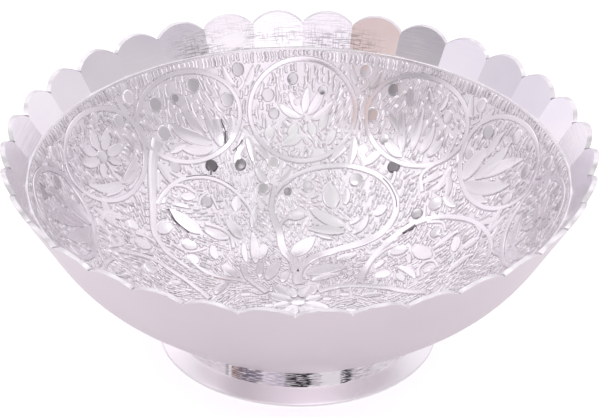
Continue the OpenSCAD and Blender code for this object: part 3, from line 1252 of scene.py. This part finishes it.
@dataclass
class Relief:
    """Makes the laid-out pattern in relief on the dish."""

    plan: ChasedField
    margin: float = 0.26
    bow: float = 0.28
    outline: float = 0.2
    buried: float = -0.1

    def __post_init__(self) -> None:
        """Lays out the pattern and builds the node trees."""
        self.pattern = self.plan.lay_out()
        self.wrap = self.wrap_tree()
        self.sweep = self.sweep_tree()
        self.strike = self.strike_tree()

    def wrap_tree(self) -> Group:
        """Node group that wraps flat relief on to the dish.

        Returns:
            The closed tree.
        """
        group = Group("wrap_to_dish", "GeometryNodeTree", [("Geometry", "Geometry"), ("Dish", "Object")],
                      [("Geometry", "Geometry")])
        given = group.given
        x, y, height = group.separate(group.node("GeometryNodeInputPosition").outputs[0])
        flat = group.combine(x, y, 0.0)
        sample = group.node("GeometryNodeSampleCurve", mode="LENGTH", Curves=group.shape_of(given["Dish"]),
                            Length=group.vector("LENGTH", flat).outputs["Value"])
        r, _, z = group.separate(sample.outputs["Position"])
        level, _, steep = group.separate(sample.outputs["Tangent"])
        out = group.math("SUBTRACT", r, group.product(steep, height))
        up = group.math("ADD", z, group.product(level, height))
        aim = group.vector("NORMALIZE", flat).outputs[0]
        around = group.node("ShaderNodeVectorMath", operation="SCALE", Scale=out)
        group.feed(around.inputs[0], aim)
        placed = group.vector("ADD", around.outputs[0], group.combine(0.0, 0.0, up)).outputs[0]
        group.close(Geometry=group.move(given["Geometry"], placed))
        return group

    def relief_tree(self, name: str, shape: str, height: tuple[str, float],
                    more: Sequence[tuple] = ()) -> Group:
        """Starts a tree whose result is wrapped on the dish.

        Args:
            name: The tree's name.
            shape: Name of the input for the section or mark.
            height: Name and default of the input that sets the relief's height.
            more: Further inputs.

        Returns:
            The tree, with its inputs.
        """
        takes = [("Geometry", "Geometry"), (shape, "Object"), ("Dish", "Object"),
                 (height[0], "Float", height[1] * MM), *more, ("Finish", "Material")]
        return Group(name, "GeometryNodeTree", takes, [("Geometry", "Geometry")])

    def wrap_and_paint(self, group: Group, flow: bpy.types.NodeSocket) -> None:
        """Wraps, realizes and paints the flow of a tree, and closes the tree.

        Args:
            group: The tree.
            flow: Its flat relief.
        """
        wrapped = group.use(self.wrap, Geometry=flow, Dish=group.given["Dish"])[0]
        real = group.node("GeometryNodeRealizeInstances", Geometry=wrapped)
        paint = group.node("GeometryNodeSetMaterial", Geometry=real.outputs[0],
                           Material=group.given["Finish"])
        group.close(Geometry=paint.outputs[0])

    def sweep_tree(self) -> Group:
        """Node tree that sweeps a section along lines of changing width and wraps it.

        Returns:
            The closed tree.
        """
        group = self.relief_tree("sweep_relief", "Section", ("Full Height At", 0.5), [("Seed", "Int", 705)])
        given = group.given
        level = group.node("GeometryNodeSetCurveNormal", mode="Z_UP", Curve=given["Geometry"])
        radius = group.node("GeometryNodeInputRadius").outputs[0]
        line = group.store(level.outputs[0], "half_width", radius)
        chance = group.node("FunctionNodeRandomValue", data_type="FLOAT",
                            ID=group.node("GeometryNodeInputIndex").outputs[0], Seed=given["Seed"])
        line = group.store(line, "tone", next(o for o in chance.outputs if o.enabled), "CURVE")
        place = group.node("GeometryNodeInputPosition").outputs[0]
        x, y, _ = group.separate(place)
        lifted = group.store(group.shape_of(given["Section"]), "lift", y)
        pressed = group.move(lifted, group.combine(group.math("DIVIDE", x, MM), 0.0, 0.0))
        body = group.node("GeometryNodeCurveToMesh", Curve=line, Profile_Curve=pressed, Scale=radius,
                          Fill_Caps=True)
        share = group.math("DIVIDE", group.named("half_width"), given["Full Height At"], clamp=True)
        lift = group.product(group.named("lift"), share)
        self.wrap_and_paint(group, group.move(body.outputs[0], group.combine(x, y, lift)))
        return group

    def strike_tree(self) -> Group:
        """Node tree that strikes one mark at each point, turned and sized by its attributes.

        Returns:
            The closed tree.
        """
        group = self.relief_tree("strike_marks", "Mark", ("Height", 0.3))
        given = group.given
        size = group.combine(group.named("length"), group.named("width"), given["Height"])
        self.wrap_and_paint(group, group.strike(given["Geometry"], group.shape_of(given["Mark"]),
                                                group.named("turn"), Scale=size))
        return group

    def guide(self, name: str, points: Iterable[Sequence[float]], closed: bool) -> bpy.types.Object:
        """Makes a line that a node tree reads and that isn't part of the object.

        Args:
            name: Its name.
            points: Its points in mm.
            closed: Whether it closes.

        Returns:
            The curve object.
        """
        line = np.array(list(points))
        return curve_object(name, [(line, np.ones(len(line)), closed)])

    def lines(self, motifs: Iterable[Vine | Blade],
              wider: float) -> Iterable[tuple[np.ndarray, np.ndarray, bool]]:
        """Curve data of swept motifs, each made wider by so much on both sides.

        Args:
            motifs: The motifs.
            wider: The extra half width, in mm.

        Returns:
            Points, half widths and whether it closes, for each.
        """
        for motif in motifs:
            points, widths = motif.line()
            flat = np.column_stack([points, np.zeros(len(points))])
            yield flat, widths + wider, isinstance(motif, Vine) and motif.closed

    def build(self, finishes: "Finishes") -> list[bpy.types.Object]:
        """Makes the relief.

        Args:
            finishes: The materials.

        Returns:
            The finished pieces.
        """
        dish = self.guide("dish_line", ((r, 0.0, z) for r, z in self.plan.ground_line()), False)
        top, low, pattern = self.plan.dish.ground_depth, (-1.0, self.buried), self.pattern
        vine = (low, (-0.98, top * 0.6), (-0.8, top), (-0.3, top + 0.01))
        leaf = (low, (-0.97, top * 0.8), (-0.9, top), (-0.8, top), (-0.45, top * 0.93), (0.0, top * 0.9))
        # The dark strip stands a little proud of the relief; its dark colour is painted reflection
        groove, cut = (low, (-0.9, top * 0.4)), (low, (-0.6, top + 0.06))
        pieces, marks = [], [self.berry_mark(), self.matting_mark()]
        for name, motifs, half, full_at, wider, finish in (
                ("relief_vines", pattern.vines, vine, 0.5, 0.0, "polished_vine"),
                ("relief_leaves", pattern.blades, leaf, 0.5, 0.0, "polished_leaf"),
                # The outline grooves' darker colour is painted shade
                ("relief_outlines", pattern.vines + pattern.blades, groove, 0.3, self.outline, "outline_cut"),
                ("relief_cuts", pattern.cuts, cut, 0.2, 0.0, "deep_cut")):
            section = self.guide(name + "_section", ((x, y, 0.0) for x, y in mirrored(half)), True)
            lines = curve_object(name + "_lines", self.lines(motifs, wider))
            pieces.append(self.sweep.bake(
                lines, name, Section=section, Dish=dish, Full_Height_At=full_at * MM, Seed=self.plan.seed,
                Finish=finishes[finish]))
            bpy.data.objects.remove(section)
        for name, rows, mark, height, finish in (
                ("relief_berries", self.berry_rows(), marks[0], top, "flat_berry"),
                ("matting_marks", Matting(self.plan, self.mask()).fill(), marks[1],
                 top * self.plan.mark_share, "struck_marks")):
            cloud = self.point_cloud(name + "_points", rows)
            pieces.append(self.strike.bake(cloud, name, Mark=mark, Dish=dish, Height=height * MM,
                                           Finish=finishes[finish]))
        for piece in pieces:
            turn_outwards(piece)
            smooth_with_creases(piece, 32)
        for spare in (dish, *marks):
            bpy.data.objects.remove(spare)
        return pieces

    def point_cloud(self, name: str, rows: Sequence[tuple[float, ...]]) -> bpy.types.Object:
        """Points that carry a turn, a length and a width in mm, and a tone each.

        Args:
            name: Name of the object.
            rows: Place and the four values of each.

        Returns:
            A mesh with no faces.
        """
        made = mesh_object(name, [(x, y, 0.0) for x, y, *_ in rows], [])
        for k, label in enumerate(("turn", "length", "width", "tone")):
            values = [row[2 + k] for row in rows]
            made.data.attributes.new(label, "FLOAT", "POINT").data.foreach_set("value", values)
        return made

    def berry_rows(self) -> list[tuple[float, ...]]:
        """Place, turn, length, width and tone of each berry; the tone is painted reflection, which makes some
        berries darker.

        Returns:
            One row for each berry.
        """
        rng, berry_reflection_tones = random.Random(self.plan.seed + 1), (0.6, 0.7, 0.78, 0.85, 0.9, 1.0)
        return [(*b.centre, rng.uniform(0, 1), 2 * b.r, 2 * b.r * rng.uniform(0.93, 1.0),
                 rng.choice(berry_reflection_tones) if b.tone is None else b.tone) for b in self.pattern.berries]

    def mask(self) -> GroundMask:
        """The ground with every motif marked on it.

        Returns:
            The covered ground.
        """
        made = GroundMask()
        for motif in self.pattern.vines + self.pattern.blades:
            points, widths = motif.line()
            if isinstance(motif, Vine) and motif.closed:
                points, widths = np.vstack([points, points[:1]]), np.append(widths, widths[0])
            made.cover_line(points, widths, self.margin)
        for berry in self.pattern.berries:
            made.cover(*berry.centre, berry.r + self.margin)
        return made

    def berry_mark(self) -> bpy.types.Object:
        """The flat round berry with its soft edge, one mm across and one unit high.

        Returns:
            A closed mesh.
        """
        section, sides = ((0.5, -0.25), (0.49, 0.6), (0.44, 0.9), (0.36, 1.0)), 20
        n, turns = len(section), [2 * math.pi * i / sides for i in range(sides)]
        points = [(r * math.cos(a), r * math.sin(a), z / MM) for a in turns for r, z in section]
        faces = [(i * n + j, k * n + j, k * n + j + 1, i * n + j + 1)
                 for i, k in ((i, (i + 1) % sides) for i in range(sides)) for j in range(n - 1)]
        faces.append([i * n for i in range(sides)][::-1])
        faces.append([i * n + n - 1 for i in range(sides)])
        return mesh_object("berry_mark", points, faces)

    def matting_mark(self) -> bpy.types.Object:
        """The slightly bowed ridge that two strokes of the matting tool leave between them.

        Returns:
            A closed mesh.
        """
        section = mirrored(((-0.5, -0.2), (-0.4, 0.72), (-0.16, 1.0)))
        ends, n = ((-0.5, 0.4, 0.45), (-0.38, 1.0, 1.0)), len(section)
        stations = (*ends, (0.0, 1.0, 1.0), *((-x, w, h) for x, w, h in ends[::-1]))
        points = [(x, s * w + self.bow * (1 - 4 * x * x), (z * h if z > 0 else z) / MM)
                  for x, w, h in stations for s, z in section]
        faces = [(i * n + j, i * n + (j + 1) % n, (i + 1) * n + (j + 1) % n, (i + 1) * n + j)
                 for i in range(len(stations) - 1) for j in range(n)]
        faces += [tuple(range(n)), tuple(range((len(stations) - 1) * n, len(stations) * n))[::-1]]
        return mesh_object("matting_mark", points, faces)


# Finishes


WHITE: Colour = (1.0, 1.0, 1.0)

# Painted reflections on the neck: dark and white bands of the mirrored room, by angle from the front, in
# degrees to the right; the back repeats it
NECK_REFLECTIONS: tuple[tuple[float, Colour], ...] = (
    (-90.0, (0.95, 0.92, 0.95)), (-34.0, (0.92, 0.88, 0.92)), (-32.6, (0.08, 0.075, 0.09)),
    (-31.8, (1.0, 0.98, 1.0)), (-30.8, (1.0, 0.98, 1.0)), (-30.2, (0.36, 0.25, 0.21)),
    (-23.0, (0.20, 0.17, 0.24)), (-16.0, (0.36, 0.33, 0.39)), (-15.0, (0.86, 0.80, 0.90)),
    (-6.0, (0.66, 0.61, 0.70)), (-3.0, (0.06, 0.055, 0.06)), (5.6, (0.045, 0.04, 0.05)),
    (7.0, (0.62, 0.59, 0.63)), (10.6, (0.74, 0.71, 0.75)), (11.2, (1.0, 1.0, 1.0)), (19.6, (1.0, 1.0, 1.0)),
    (20.8, (0.045, 0.04, 0.05)), (24.0, (0.08, 0.075, 0.09)), (26.0, (0.66, 0.63, 0.67)),
    (44.0, (0.95, 0.92, 0.95)), (90.0, (0.97, 0.95, 0.97)))


@dataclass(frozen=True)
class Metal:
    """A plated finish: its colours, gloss and scratches, turning lines, and what else marks it.

    A dark_tone under 1 darkens it by the tone that each stroke, leaf or berry carries; on berries that
    darkening is painted reflection. The band's scouring is painted dark at the back as reflection, and the
    neck's colour holds painted reflections.
    """

    name: str
    colour: Colour
    dull: Colour
    roughness: float
    rough_drift: float
    scratch: float
    drift_scale: float
    line_pitch: float = 0.5
    line_depth: float = 0.0
    dark_tone: float = 1.0
    scoured: bool = False
    painted_reflections: bool = False


# Name, colour, dull colour, roughness and its drift, depth of the scratches, fineness of the drift
METALS: tuple[Metal, ...] = (
    Metal("satin_skin", (0.78, 0.72, 0.76), (0.74, 0.69, 0.725), 0.34, 0.05, 0.03, 30.0,
          line_pitch=0.35, line_depth=0.05),
    Metal("filed_edge", (0.88, 0.87, 0.885), (0.76, 0.74, 0.76), 0.22, 0.08, 0.08, 300.0),
    # The band's scouring is real marking, painted dark at the back as reflection
    Metal("turned_band", (0.97, 0.95, 0.955), (0.85, 0.825, 0.89), 0.14, 0.05, 0.02, 25.0,
          line_pitch=0.42, line_depth=0.3, scoured=True),
    Metal("matted_ground", (0.97, 0.94, 0.97), (0.86, 0.83, 0.86), 0.3, 0.1, 0.55, 160.0),
    Metal("polished_vine", (0.94, 0.915, 0.94), (0.86, 0.835, 0.865), 0.17, 0.08, 0.1, 60.0),
    Metal("polished_leaf", (1.0, 0.98, 1.0), (0.90, 0.87, 0.90), 0.17, 0.08, 0.1, 60.0, dark_tone=0.86),
    Metal("struck_marks", (0.97, 0.95, 0.97), (0.90, 0.875, 0.90), 0.18, 0.08, 0.15, 120.0, dark_tone=0.8),
    # Berries darkened by their tone: painted reflection
    Metal("flat_berry", (0.98, 0.96, 0.98), (0.92, 0.89, 0.92), 0.14, 0.04, 0.03, 60.0, dark_tone=0.1),
    # Outline grooves coloured darker than relief and ground: painted shade
    Metal("outline_cut", (0.78, 0.755, 0.78), (0.66, 0.635, 0.66), 0.3, 0.1, 0.1, 200.0),
    # Dark strips along vine edges: painted reflection
    Metal("deep_cut", (0.30, 0.27, 0.30), (0.20, 0.18, 0.20), 0.4, 0.1, 0.1, 200.0),
    Metal("turned_foot", (1.0, 0.99, 1.0), (0.98, 0.945, 0.97), 0.27, 0.05, 0.03, 40.0,
          line_pitch=0.3, line_depth=0.06),
    # The neck's colour is painted reflection: dark and white bands by angle
    Metal("brushed_neck", WHITE, (0.97, 0.955, 0.97), 0.2, 0.05, 0.03, 50.0,
          line_pitch=0.3, line_depth=0.12, painted_reflections=True),
    Metal("soldered", (0.74, 0.73, 0.74), (0.62, 0.60, 0.60), 0.34, 0.1, 0.2, 200.0))


class Finishes:
    """All materials by name, with the shader groups that they share."""

    bump_height: float = 0.1 * MM
    scour_height: float = 7.8 * MM
    scratch_scale: float = 2600.0
    # Dark colour of the scouring: partly the marks, partly painted dark reflection
    scour_reflection_tone: Colour = (0.40, 0.385, 0.40)
    # Dark fine lines within the neck's painted reflections
    dark_line: Colour = (0.2, 0.18, 0.2)

    def __init__(self) -> None:
        """Builds the groups and every finish."""
        self.drift = self.drift_group()
        self.lines = self.lines_group()
        self.blocks = self.neck_reflections_group()
        self.scours = self.scours_group()
        self.made = {metal.name: self.make(metal) for metal in METALS}

    def __getitem__(self, name: str) -> bpy.types.Material:
        """The finish of a name."""
        return self.made[name]

    def drift_group(self) -> Group:
        """Slow changes of tone and gloss over a surface, and its fine scratches.

        Returns:
            The closed tree.
        """
        group = Group("tone_drift", "ShaderNodeTree", [("Vector", "Vector"), ("Scale", "Float", 40.0)],
                      [("Tone", "Float"), ("Scratch", "Float")])
        place = group.given["Vector"]
        slow = group.noise(place, group.given["Scale"], 4.0, dimensions="3D")
        tone = group.node("ShaderNodeMapRange", Value=slow, From_Min=0.34, From_Max=0.66)
        fine = group.noise(place, self.scratch_scale, 3.0, 0.65, "3D")
        group.close(Tone=tone.outputs[0], Scratch=fine)
        return group

    def lines_group(self) -> Group:
        """Turning lines: rings round the axis, fine and uneven.

        Returns:
            The closed tree.
        """
        group = Group("turning_lines", "ShaderNodeTree", [("Vector", "Vector"), ("Pitch", "Float", 0.5 * MM)],
                      [("Height", "Float")])
        x, y, z = group.separate(group.given["Vector"])
        along = group.math("ADD", z, group.product(group.hypot(x, y), 0.4))
        step = group.math("DIVIDE", along, group.given["Pitch"])
        turn = group.product(group.math("ARCTAN2", y, x), 1.6)
        group.close(Height=group.noise(group.combine(step, turn, 0.0), rough=0.7))
        return group

    def scours_group(self) -> Group:
        """Mask of the scouring low on the band, level lines crossed by short upright ones, shown only at the
        back as painted dark reflection.

        Returns:
            The closed tree.
        """
        group = Group("scoured_band", "ShaderNodeTree",
                      [("Vector", "Vector"), ("Ring Height", "Float", 0.04)], [("Mask", "Float")])
        x, y, z = group.separate(group.given["Vector"])
        turn = group.math("DEGREES", group.math("ARCTAN2", x, y))
        level, upright, patchy = (
            group.smooth(group.streaks(turn, across, z, up), low, high)
            for across, up, low, high in ((0.3, 3600.0, 0.5, 0.6), (2.4, 420.0, 0.52, 0.62),
                                          (0.09, 160.0, 0.32, 0.5)))
        lines = group.math("MAXIMUM", group.product(level, 0.85), group.product(upright, 0.5))
        above = group.math("DIVIDE", group.math("SUBTRACT", z, group.given["Ring Height"]), self.scour_height)
        fade = group.math("ADD", group.product(group.smooth(above, 0.75, 0.15), 0.75), 0.25)
        # Painted reflection: the scouring shows dark only at the back, where the band faces the camera
        back = group.smooth(group.math("ABSOLUTE", group.math("ADD", turn, 6.0)), 27.0, 17.0)
        group.close(Mask=group.product(lines, patchy, group.product(fade, back)))
        return group

    def neck_reflections_group(self) -> Group:
        """Painted reflections on the neck: dark and white bands round the axis, broken up by fine brushed
        level lines.

        Returns:
            The closed tree.
        """
        group = Group("burnished_blocks", "ShaderNodeTree", [("Vector", "Vector")], [("Tone", "Color")])
        x, y, z = group.separate(group.given["Vector"])
        turn = group.math("DEGREES", group.math("ARCTAN2", x, group.product(y, -1.0)))
        level = group.streaks(turn, 0.22, z, 4200.0)
        ragged = group.math("ADD", turn, group.product(group.math("SUBTRACT", level, 0.5), 5.0))
        place = group.math("DIVIDE", group.math("WRAP", ragged, 90.0, -90.0), 180.0)
        blocks = group.ramp(group.math("ADD", place, 0.5),
                            [(at / 180 + 0.5, tone) for at, tone in NECK_REFLECTIONS])
        bright, dark = group.smooth(level, 0.52, 0.6), group.smooth(level, 0.42, 0.32)
        lined = group.mix(bright, blocks, group.mix(0.8, blocks, WHITE))
        group.close(Tone=group.mix(group.product(dark, 0.3), lined, self.dark_line))
        return group

    def make(self, metal: Metal) -> bpy.types.Material:
        """Builds one finish.

        Args:
            metal: Its values.

        Returns:
            The material.
        """
        material = bpy.data.materials.new(metal.name)
        tree = Tree.cleared(material)
        place = tree.node("ShaderNodeTexCoord").outputs["Object"]
        drift = tree.use(self.drift, Vector=place, Scale=metal.drift_scale)
        colour = tree.mix(drift["Tone"], metal.dull, metal.colour)
        rough = tree.math("ADD", tree.product(drift["Tone"], metal.rough_drift),
                          metal.roughness - metal.rough_drift / 2)
        height = tree.product(drift["Scratch"], metal.scratch)
        if metal.line_depth:
            lines = tree.use(self.lines, Vector=place, Pitch=metal.line_pitch * MM)
            height = tree.math("ADD", height, tree.product(lines["Height"], metal.line_depth))
        # Darkening by tone: random on leaves and strokes, painted reflection on berries
        if metal.dark_tone < 1.0:
            tone = tree.node("ShaderNodeAttribute", attribute_name="tone").outputs["Fac"]
            shade = tree.math("ADD", tree.product(tone, 1.0 - metal.dark_tone), metal.dark_tone)
            colour = tree.mix(1.0, colour, tree.combine(shade, shade, shade), "MULTIPLY")
        # Scouring on the band, painted dark at the back as reflection
        if metal.scoured:
            mask = tree.use(self.scours, Vector=place, Ring_Height=DishCurve().ring_z * MM)["Mask"]
            colour = tree.mix(mask, colour, self.scour_reflection_tone)
        # Painted reflections: dark and white bands of the room laid on the neck's colour
        if metal.painted_reflections:
            colour = tree.mix(1.0, colour, tree.use(self.blocks, Vector=place)["Tone"], "MULTIPLY")
        bump = tree.node("ShaderNodeBump", Strength=1.0, Distance=self.bump_height, Height=height)
        shader = tree.node("ShaderNodeBsdfPrincipled", Metallic=1.0, Base_Color=colour, Roughness=rough,
                           Normal=bump.outputs[0])
        tree.node("ShaderNodeOutputMaterial", Surface=shader.outputs[0])
        return material


# Studio


@dataclass(frozen=True)
class Panel:
    """A soft-edged part of the room: its middle and half sizes in degrees, and its tone."""

    azimuth: float
    elevation: float
    half_w: float
    half_h: float
    tone: Colour


@dataclass
class Studio:
    """Floor, light and camera."""

    eye: tuple[float, float, float] = (0.00643, -0.8092, 0.5231)
    aim: tuple[float, float, float] = (0.0003, 0.0, 0.0371)
    roll: float = 0.51
    lens: float = 219.96
    floor_half: float = 4000.0
    floor_tone: Colour = (0.9, 0.9, 0.9)
    floor_glow: float = 0.5
    mirrored_glow: float = 0.2
    lamp_at: tuple[float, float, float] = (-0.55, -0.15, 1.6)
    lamp_size: float = 1.5
    lamp_glow: float = 0.12
    tint: Colour = (1.0, 0.945, 1.01)
    ceiling: Colour = (0.7, 0.685, 0.7)
    # Tone of the walls by azimuth: a dark door at -145, a window about -80, a dim wall about -20 and
    # pale walls from 30 on
    walls: tuple[tuple[float, float], ...] = (
        (-180, 0.75), (-165, 1.0), (-145, 0.45), (-125, 0.65), (-100, 1.15), (-75, 1.25), (-60, 1.1),
        (-40, 0.65), (0, 0.65), (30, 0.95), (120, 0.95), (140, 1.1), (160, 0.9), (180, 0.75))
    panels: tuple[Panel, ...] = (
        Panel(-125, 42, 9, 12, (0.77, 0.61, 0.58)), Panel(-100, 27, 9, 7, (0.22, 0.2, 0.22)),
        Panel(180, 58, 32, 15, (1.1, 1.05, 1.1)), Panel(0, 58, 32, 15, (1.05, 1.0, 1.05)),
        Panel(90, 50, 48, 24, (1.15, 1.1, 1.15)), Panel(-90, 60, 30, 7, (0.9, 0.9, 0.9)),
        Panel(-95, 80, 26, 5, (1.0, 0.95, 1.0)), Panel(-35, 62, 9, 5, (2.4, 2.3, 2.4)),
        Panel(-145, 62, 9, 5, (2.4, 2.3, 2.4)), Panel(90, 62, 12, 6, (1.3, 1.25, 1.3)),
        Panel(150, 48, 7, 6, (2.0, 1.95, 2.0)), Panel(30, 48, 7, 6, (2.0, 1.95, 2.0)))

    def build(self) -> None:
        """Sets up the whole studio."""
        self.floor()
        self.world()
        self.lamps()
        self.camera()
        bpy.context.scene.view_settings.view_transform = "Standard"

    def floor(self) -> None:
        """A plain white floor that keeps the object's shadow."""
        w = self.floor_half
        made = mesh_object("floor", [(-w, -w, 0), (w, -w, 0), (w, w, 0), (-w, w, 0)], [(0, 1, 2, 3)])
        material = bpy.data.materials.new("white_floor")
        tree = Tree.cleared(material)
        path = tree.node("ShaderNodeLightPath").outputs
        seen = tree.product(path["Is Camera Ray"], self.floor_glow)
        mirrored_too = tree.product(path["Is Glossy Ray"], self.mirrored_glow)
        paint = tree.node("ShaderNodeBsdfDiffuse", Color=self.floor_tone)
        glow = tree.node("ShaderNodeEmission", Strength=tree.math("ADD", seen, mirrored_too))
        both = tree.in_order(tree.node("ShaderNodeAddShader"), paint.outputs[0], glow.outputs[0])
        tree.node("ShaderNodeOutputMaterial", Surface=both.outputs[0])
        made.data.materials.append(material)

    def world(self) -> None:
        """A pale room, white to the camera, whose walls give bright metal something to mirror."""
        world = bpy.data.worlds.new("pale_room")
        bpy.context.scene.world = world
        tree = Tree.cleared(world)
        x, y, z = tree.separate(tree.node("ShaderNodeTexCoord").outputs["Generated"])
        azimuth = tree.math("DEGREES", tree.math("ARCTAN2", y, x))
        elevation = tree.math("DEGREES", tree.math("ARCSINE", z))
        place = tree.math("ADD", tree.math("DIVIDE", azimuth, 360.0), 0.5)
        wall = tree.ramp(place, [(at / 360 + 0.5, (tone, tone, tone)) for at, tone in self.walls])
        wall = tree.mix(1.0, wall, self.tint, "MULTIPLY")
        room = tree.mix(tree.smooth(elevation, 52.0, 68.0), wall, self.ceiling)
        oval = self.panel_group()
        for panel in self.panels:
            mask = tree.use(oval, Azimuth=azimuth, Elevation=elevation, Middle_Azimuth=panel.azimuth,
                            Middle_Elevation=panel.elevation, Half_Width=panel.half_w,
                            Half_Height=panel.half_h)
            room = tree.mix(mask["Mask"], room, panel.tone)
        seen = tree.node("ShaderNodeLightPath").outputs["Is Camera Ray"]
        back = tree.node("ShaderNodeBackground", Color=tree.mix(seen, room, WHITE), Strength=1.0)
        tree.node("ShaderNodeOutputWorld", Surface=back.outputs[0])

    def panel_group(self) -> Group:
        """Mask of one soft-edged oval part of the room.

        Returns:
            The closed tree.
        """
        names = ("Azimuth", "Elevation", "Middle Azimuth", "Middle Elevation", "Half Width", "Half Height")
        group = Group("soft_panel", "ShaderNodeTree", [(name, "Float", 10.0) for name in names],
                      [("Mask", "Float")])
        azimuth, elevation, at, up, half_w, half_h = (group.given[name] for name in names)
        off = group.math("WRAP", group.math("SUBTRACT", azimuth, at), 180.0, -180.0)
        rise = group.math("SUBTRACT", elevation, up)
        out = group.hypot(group.math("DIVIDE", off, half_w), group.math("DIVIDE", rise, half_h))
        group.close(Mask=group.smooth(out, 1.3, 0.7))
        return group

    def lamps(self) -> None:
        """One very large soft lamp above and to the left."""
        light = bpy.data.lights.new("softbox", "AREA")
        light.shape = "DISK"
        light.size = self.lamp_size
        light.energy = self.lamp_glow * math.pi * math.pi * (self.lamp_size / 2) ** 2
        made = bpy.data.objects.new("softbox", light)
        place = Vector(self.lamp_at)
        made.matrix_world = Matrix.Translation(place) @ place.to_track_quat("Z", "Y").to_matrix().to_4x4()
        bpy.context.scene.collection.objects.link(made)

    def camera(self) -> None:
        """The photograph's viewpoint."""
        made = bpy.data.objects.new("camera", bpy.data.cameras.new("camera"))
        made.data.sensor_width = 36.0
        made.data.sensor_fit = "HORIZONTAL"
        made.data.lens = self.lens
        aim = (Vector(self.aim) - Vector(self.eye)).to_track_quat("-Z", "Y").to_matrix().to_4x4()
        roll = Matrix.Rotation(math.radians(self.roll), 4, "Z")
        made.matrix_world = Matrix.Translation(self.eye) @ aim @ roll
        bpy.context.scene.collection.objects.link(made)
        bpy.context.scene.camera = made


# Build


@dataclass
class Foot:
    """The ring foot and the solder that holds it."""

    foot_r: float = 36.2
    neck_r: float = 32.8
    flange_h: float = 3.7
    lip_h: float = 0.7
    wall: float = 2.2
    seam_t: float = 0.15
    bead_w: float = 0.9

    def under_z(self, r: float) -> float:
        """Height of the dish's underside at a radius."""
        line = DishCurve().curve(0.0)
        return float(np.interp(r, [p[0] for p in line], [p[1] for p in line]))

    def ring(self) -> TurnedRing:
        """The foot's section: lip, sloping flange, short neck and open middle.

        Returns:
            The turned ring.
        """
        f, n, w, lip, flange = self.foot_r, self.neck_r, self.wall, self.lip_h, self.flange_h
        top, inner = (self.under_z(r) - self.seam_t for r in (n, n - w))
        bend = flange + 0.14
        rounded_lip = [(f - w + 0.15, 0.0), (f - 0.16, 0.0), (f - 0.04, 0.05), (f, 0.16), (f, lip - 0.14),
                       (f - 0.03, lip - 0.03), (f - 0.12, lip + 0.08)]
        shares = (0.2, 0.4, 0.6, 0.8)
        slope = list(zip(spaced(f, n, shares), spaced(lip, flange, shares)))
        corner = [(n + 0.16, flange - 0.14)]
        neck = [(n + 0.03, flange + 0.02), *((n, z) for z in spaced(bend, top, (0, 0.25, 0.5, 0.75)))]
        inside = [(n, top), (n - w / 2, (top + inner) / 2), (n - w, inner), (n - w, flange), (f - w, lip),
                  (f - w, 0.15)]
        zones = ((rounded_lip + slope + corner, 0), (neck, 1), (inside, 0))
        return TurnedRing("foot_ring_turned", [(r, z, zone) for line, zone in zones for r, z in line])

    def seam(self) -> TurnedRing:
        """The solder's section: a film with a hollow bead each side, sunk a little into the dish.

        Returns:
            The turned ring.
        """
        n, m, b = self.neck_r, self.neck_r - self.wall, self.bead_w

        def bead(r: float, way: int) -> list[Point]:
            """One bead, from the foot's corner to its thin edge on the dish.

            Args:
                r: Radius of the foot's corner.
                way: 1 outwards or -1 inwards.

            Returns:
                Its points.
            """
            far, edge = r + 0.42 * way, r + b * way
            return [(r + 0.005 * way, self.under_z(r) - b), (r + 0.16 * way, self.under_z(r) - b * 0.52),
                    (far, self.under_z(far) - b * 0.24), (edge, self.under_z(edge) - 0.01)]

        sunk = [(r, self.under_z(r) + 0.05) for r in (n + 0.4, n, m)]
        film = [(r, self.under_z(r) - self.seam_t) for r in (m, n)]
        return TurnedRing("solder_ring", [(r, z, 0) for r, z in bead(n, 1) + sunk + bead(m, -1)[::-1] + film])

    def build(self, repeat: RoundRepeat, finishes: Finishes) -> list[tuple[bpy.types.Object, str, str]]:
        """Makes the foot and the seam.

        Args:
            repeat: The node tree that repeats a sector round the axis.
            finishes: The materials.

        Returns:
            Each piece with the node it replaces and its slot.
        """
        turned = finishes["turned_foot"]
        # The neck zone gets the finish whose colour holds painted reflections
        foot = self.ring().build(repeat, [turned, finishes["brushed_neck"], turned, turned])
        seam = self.seam().build(repeat, [finishes["soldered"]] * 4)
        return [(foot, "foot_ring", "brushed_plate"), (seam, "solder_seam", "solder")]


def main() -> None:
    """Builds the bowl, its foot and the studio."""
    logging.basicConfig(level=logging.INFO, format="%(message)s")
    finishes = Finishes()
    repeat = RoundRepeat()
    shell = Shell().build(repeat, finishes)
    made = [(shell, "bowl", "bright_plate")] + Foot().build(repeat, finishes)
    for piece, node, _ in made:
        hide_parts(node)
    made += [(piece, "", "bright_plate") for piece in Relief(ChasedField()).build(finishes)]
    for piece, _, slot in made:
        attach(piece, "root")
        log.info("%s: %d faces", piece.name, len(piece.data.polygons))
    Studio().build()


if __name__ == "__main__":
    main()
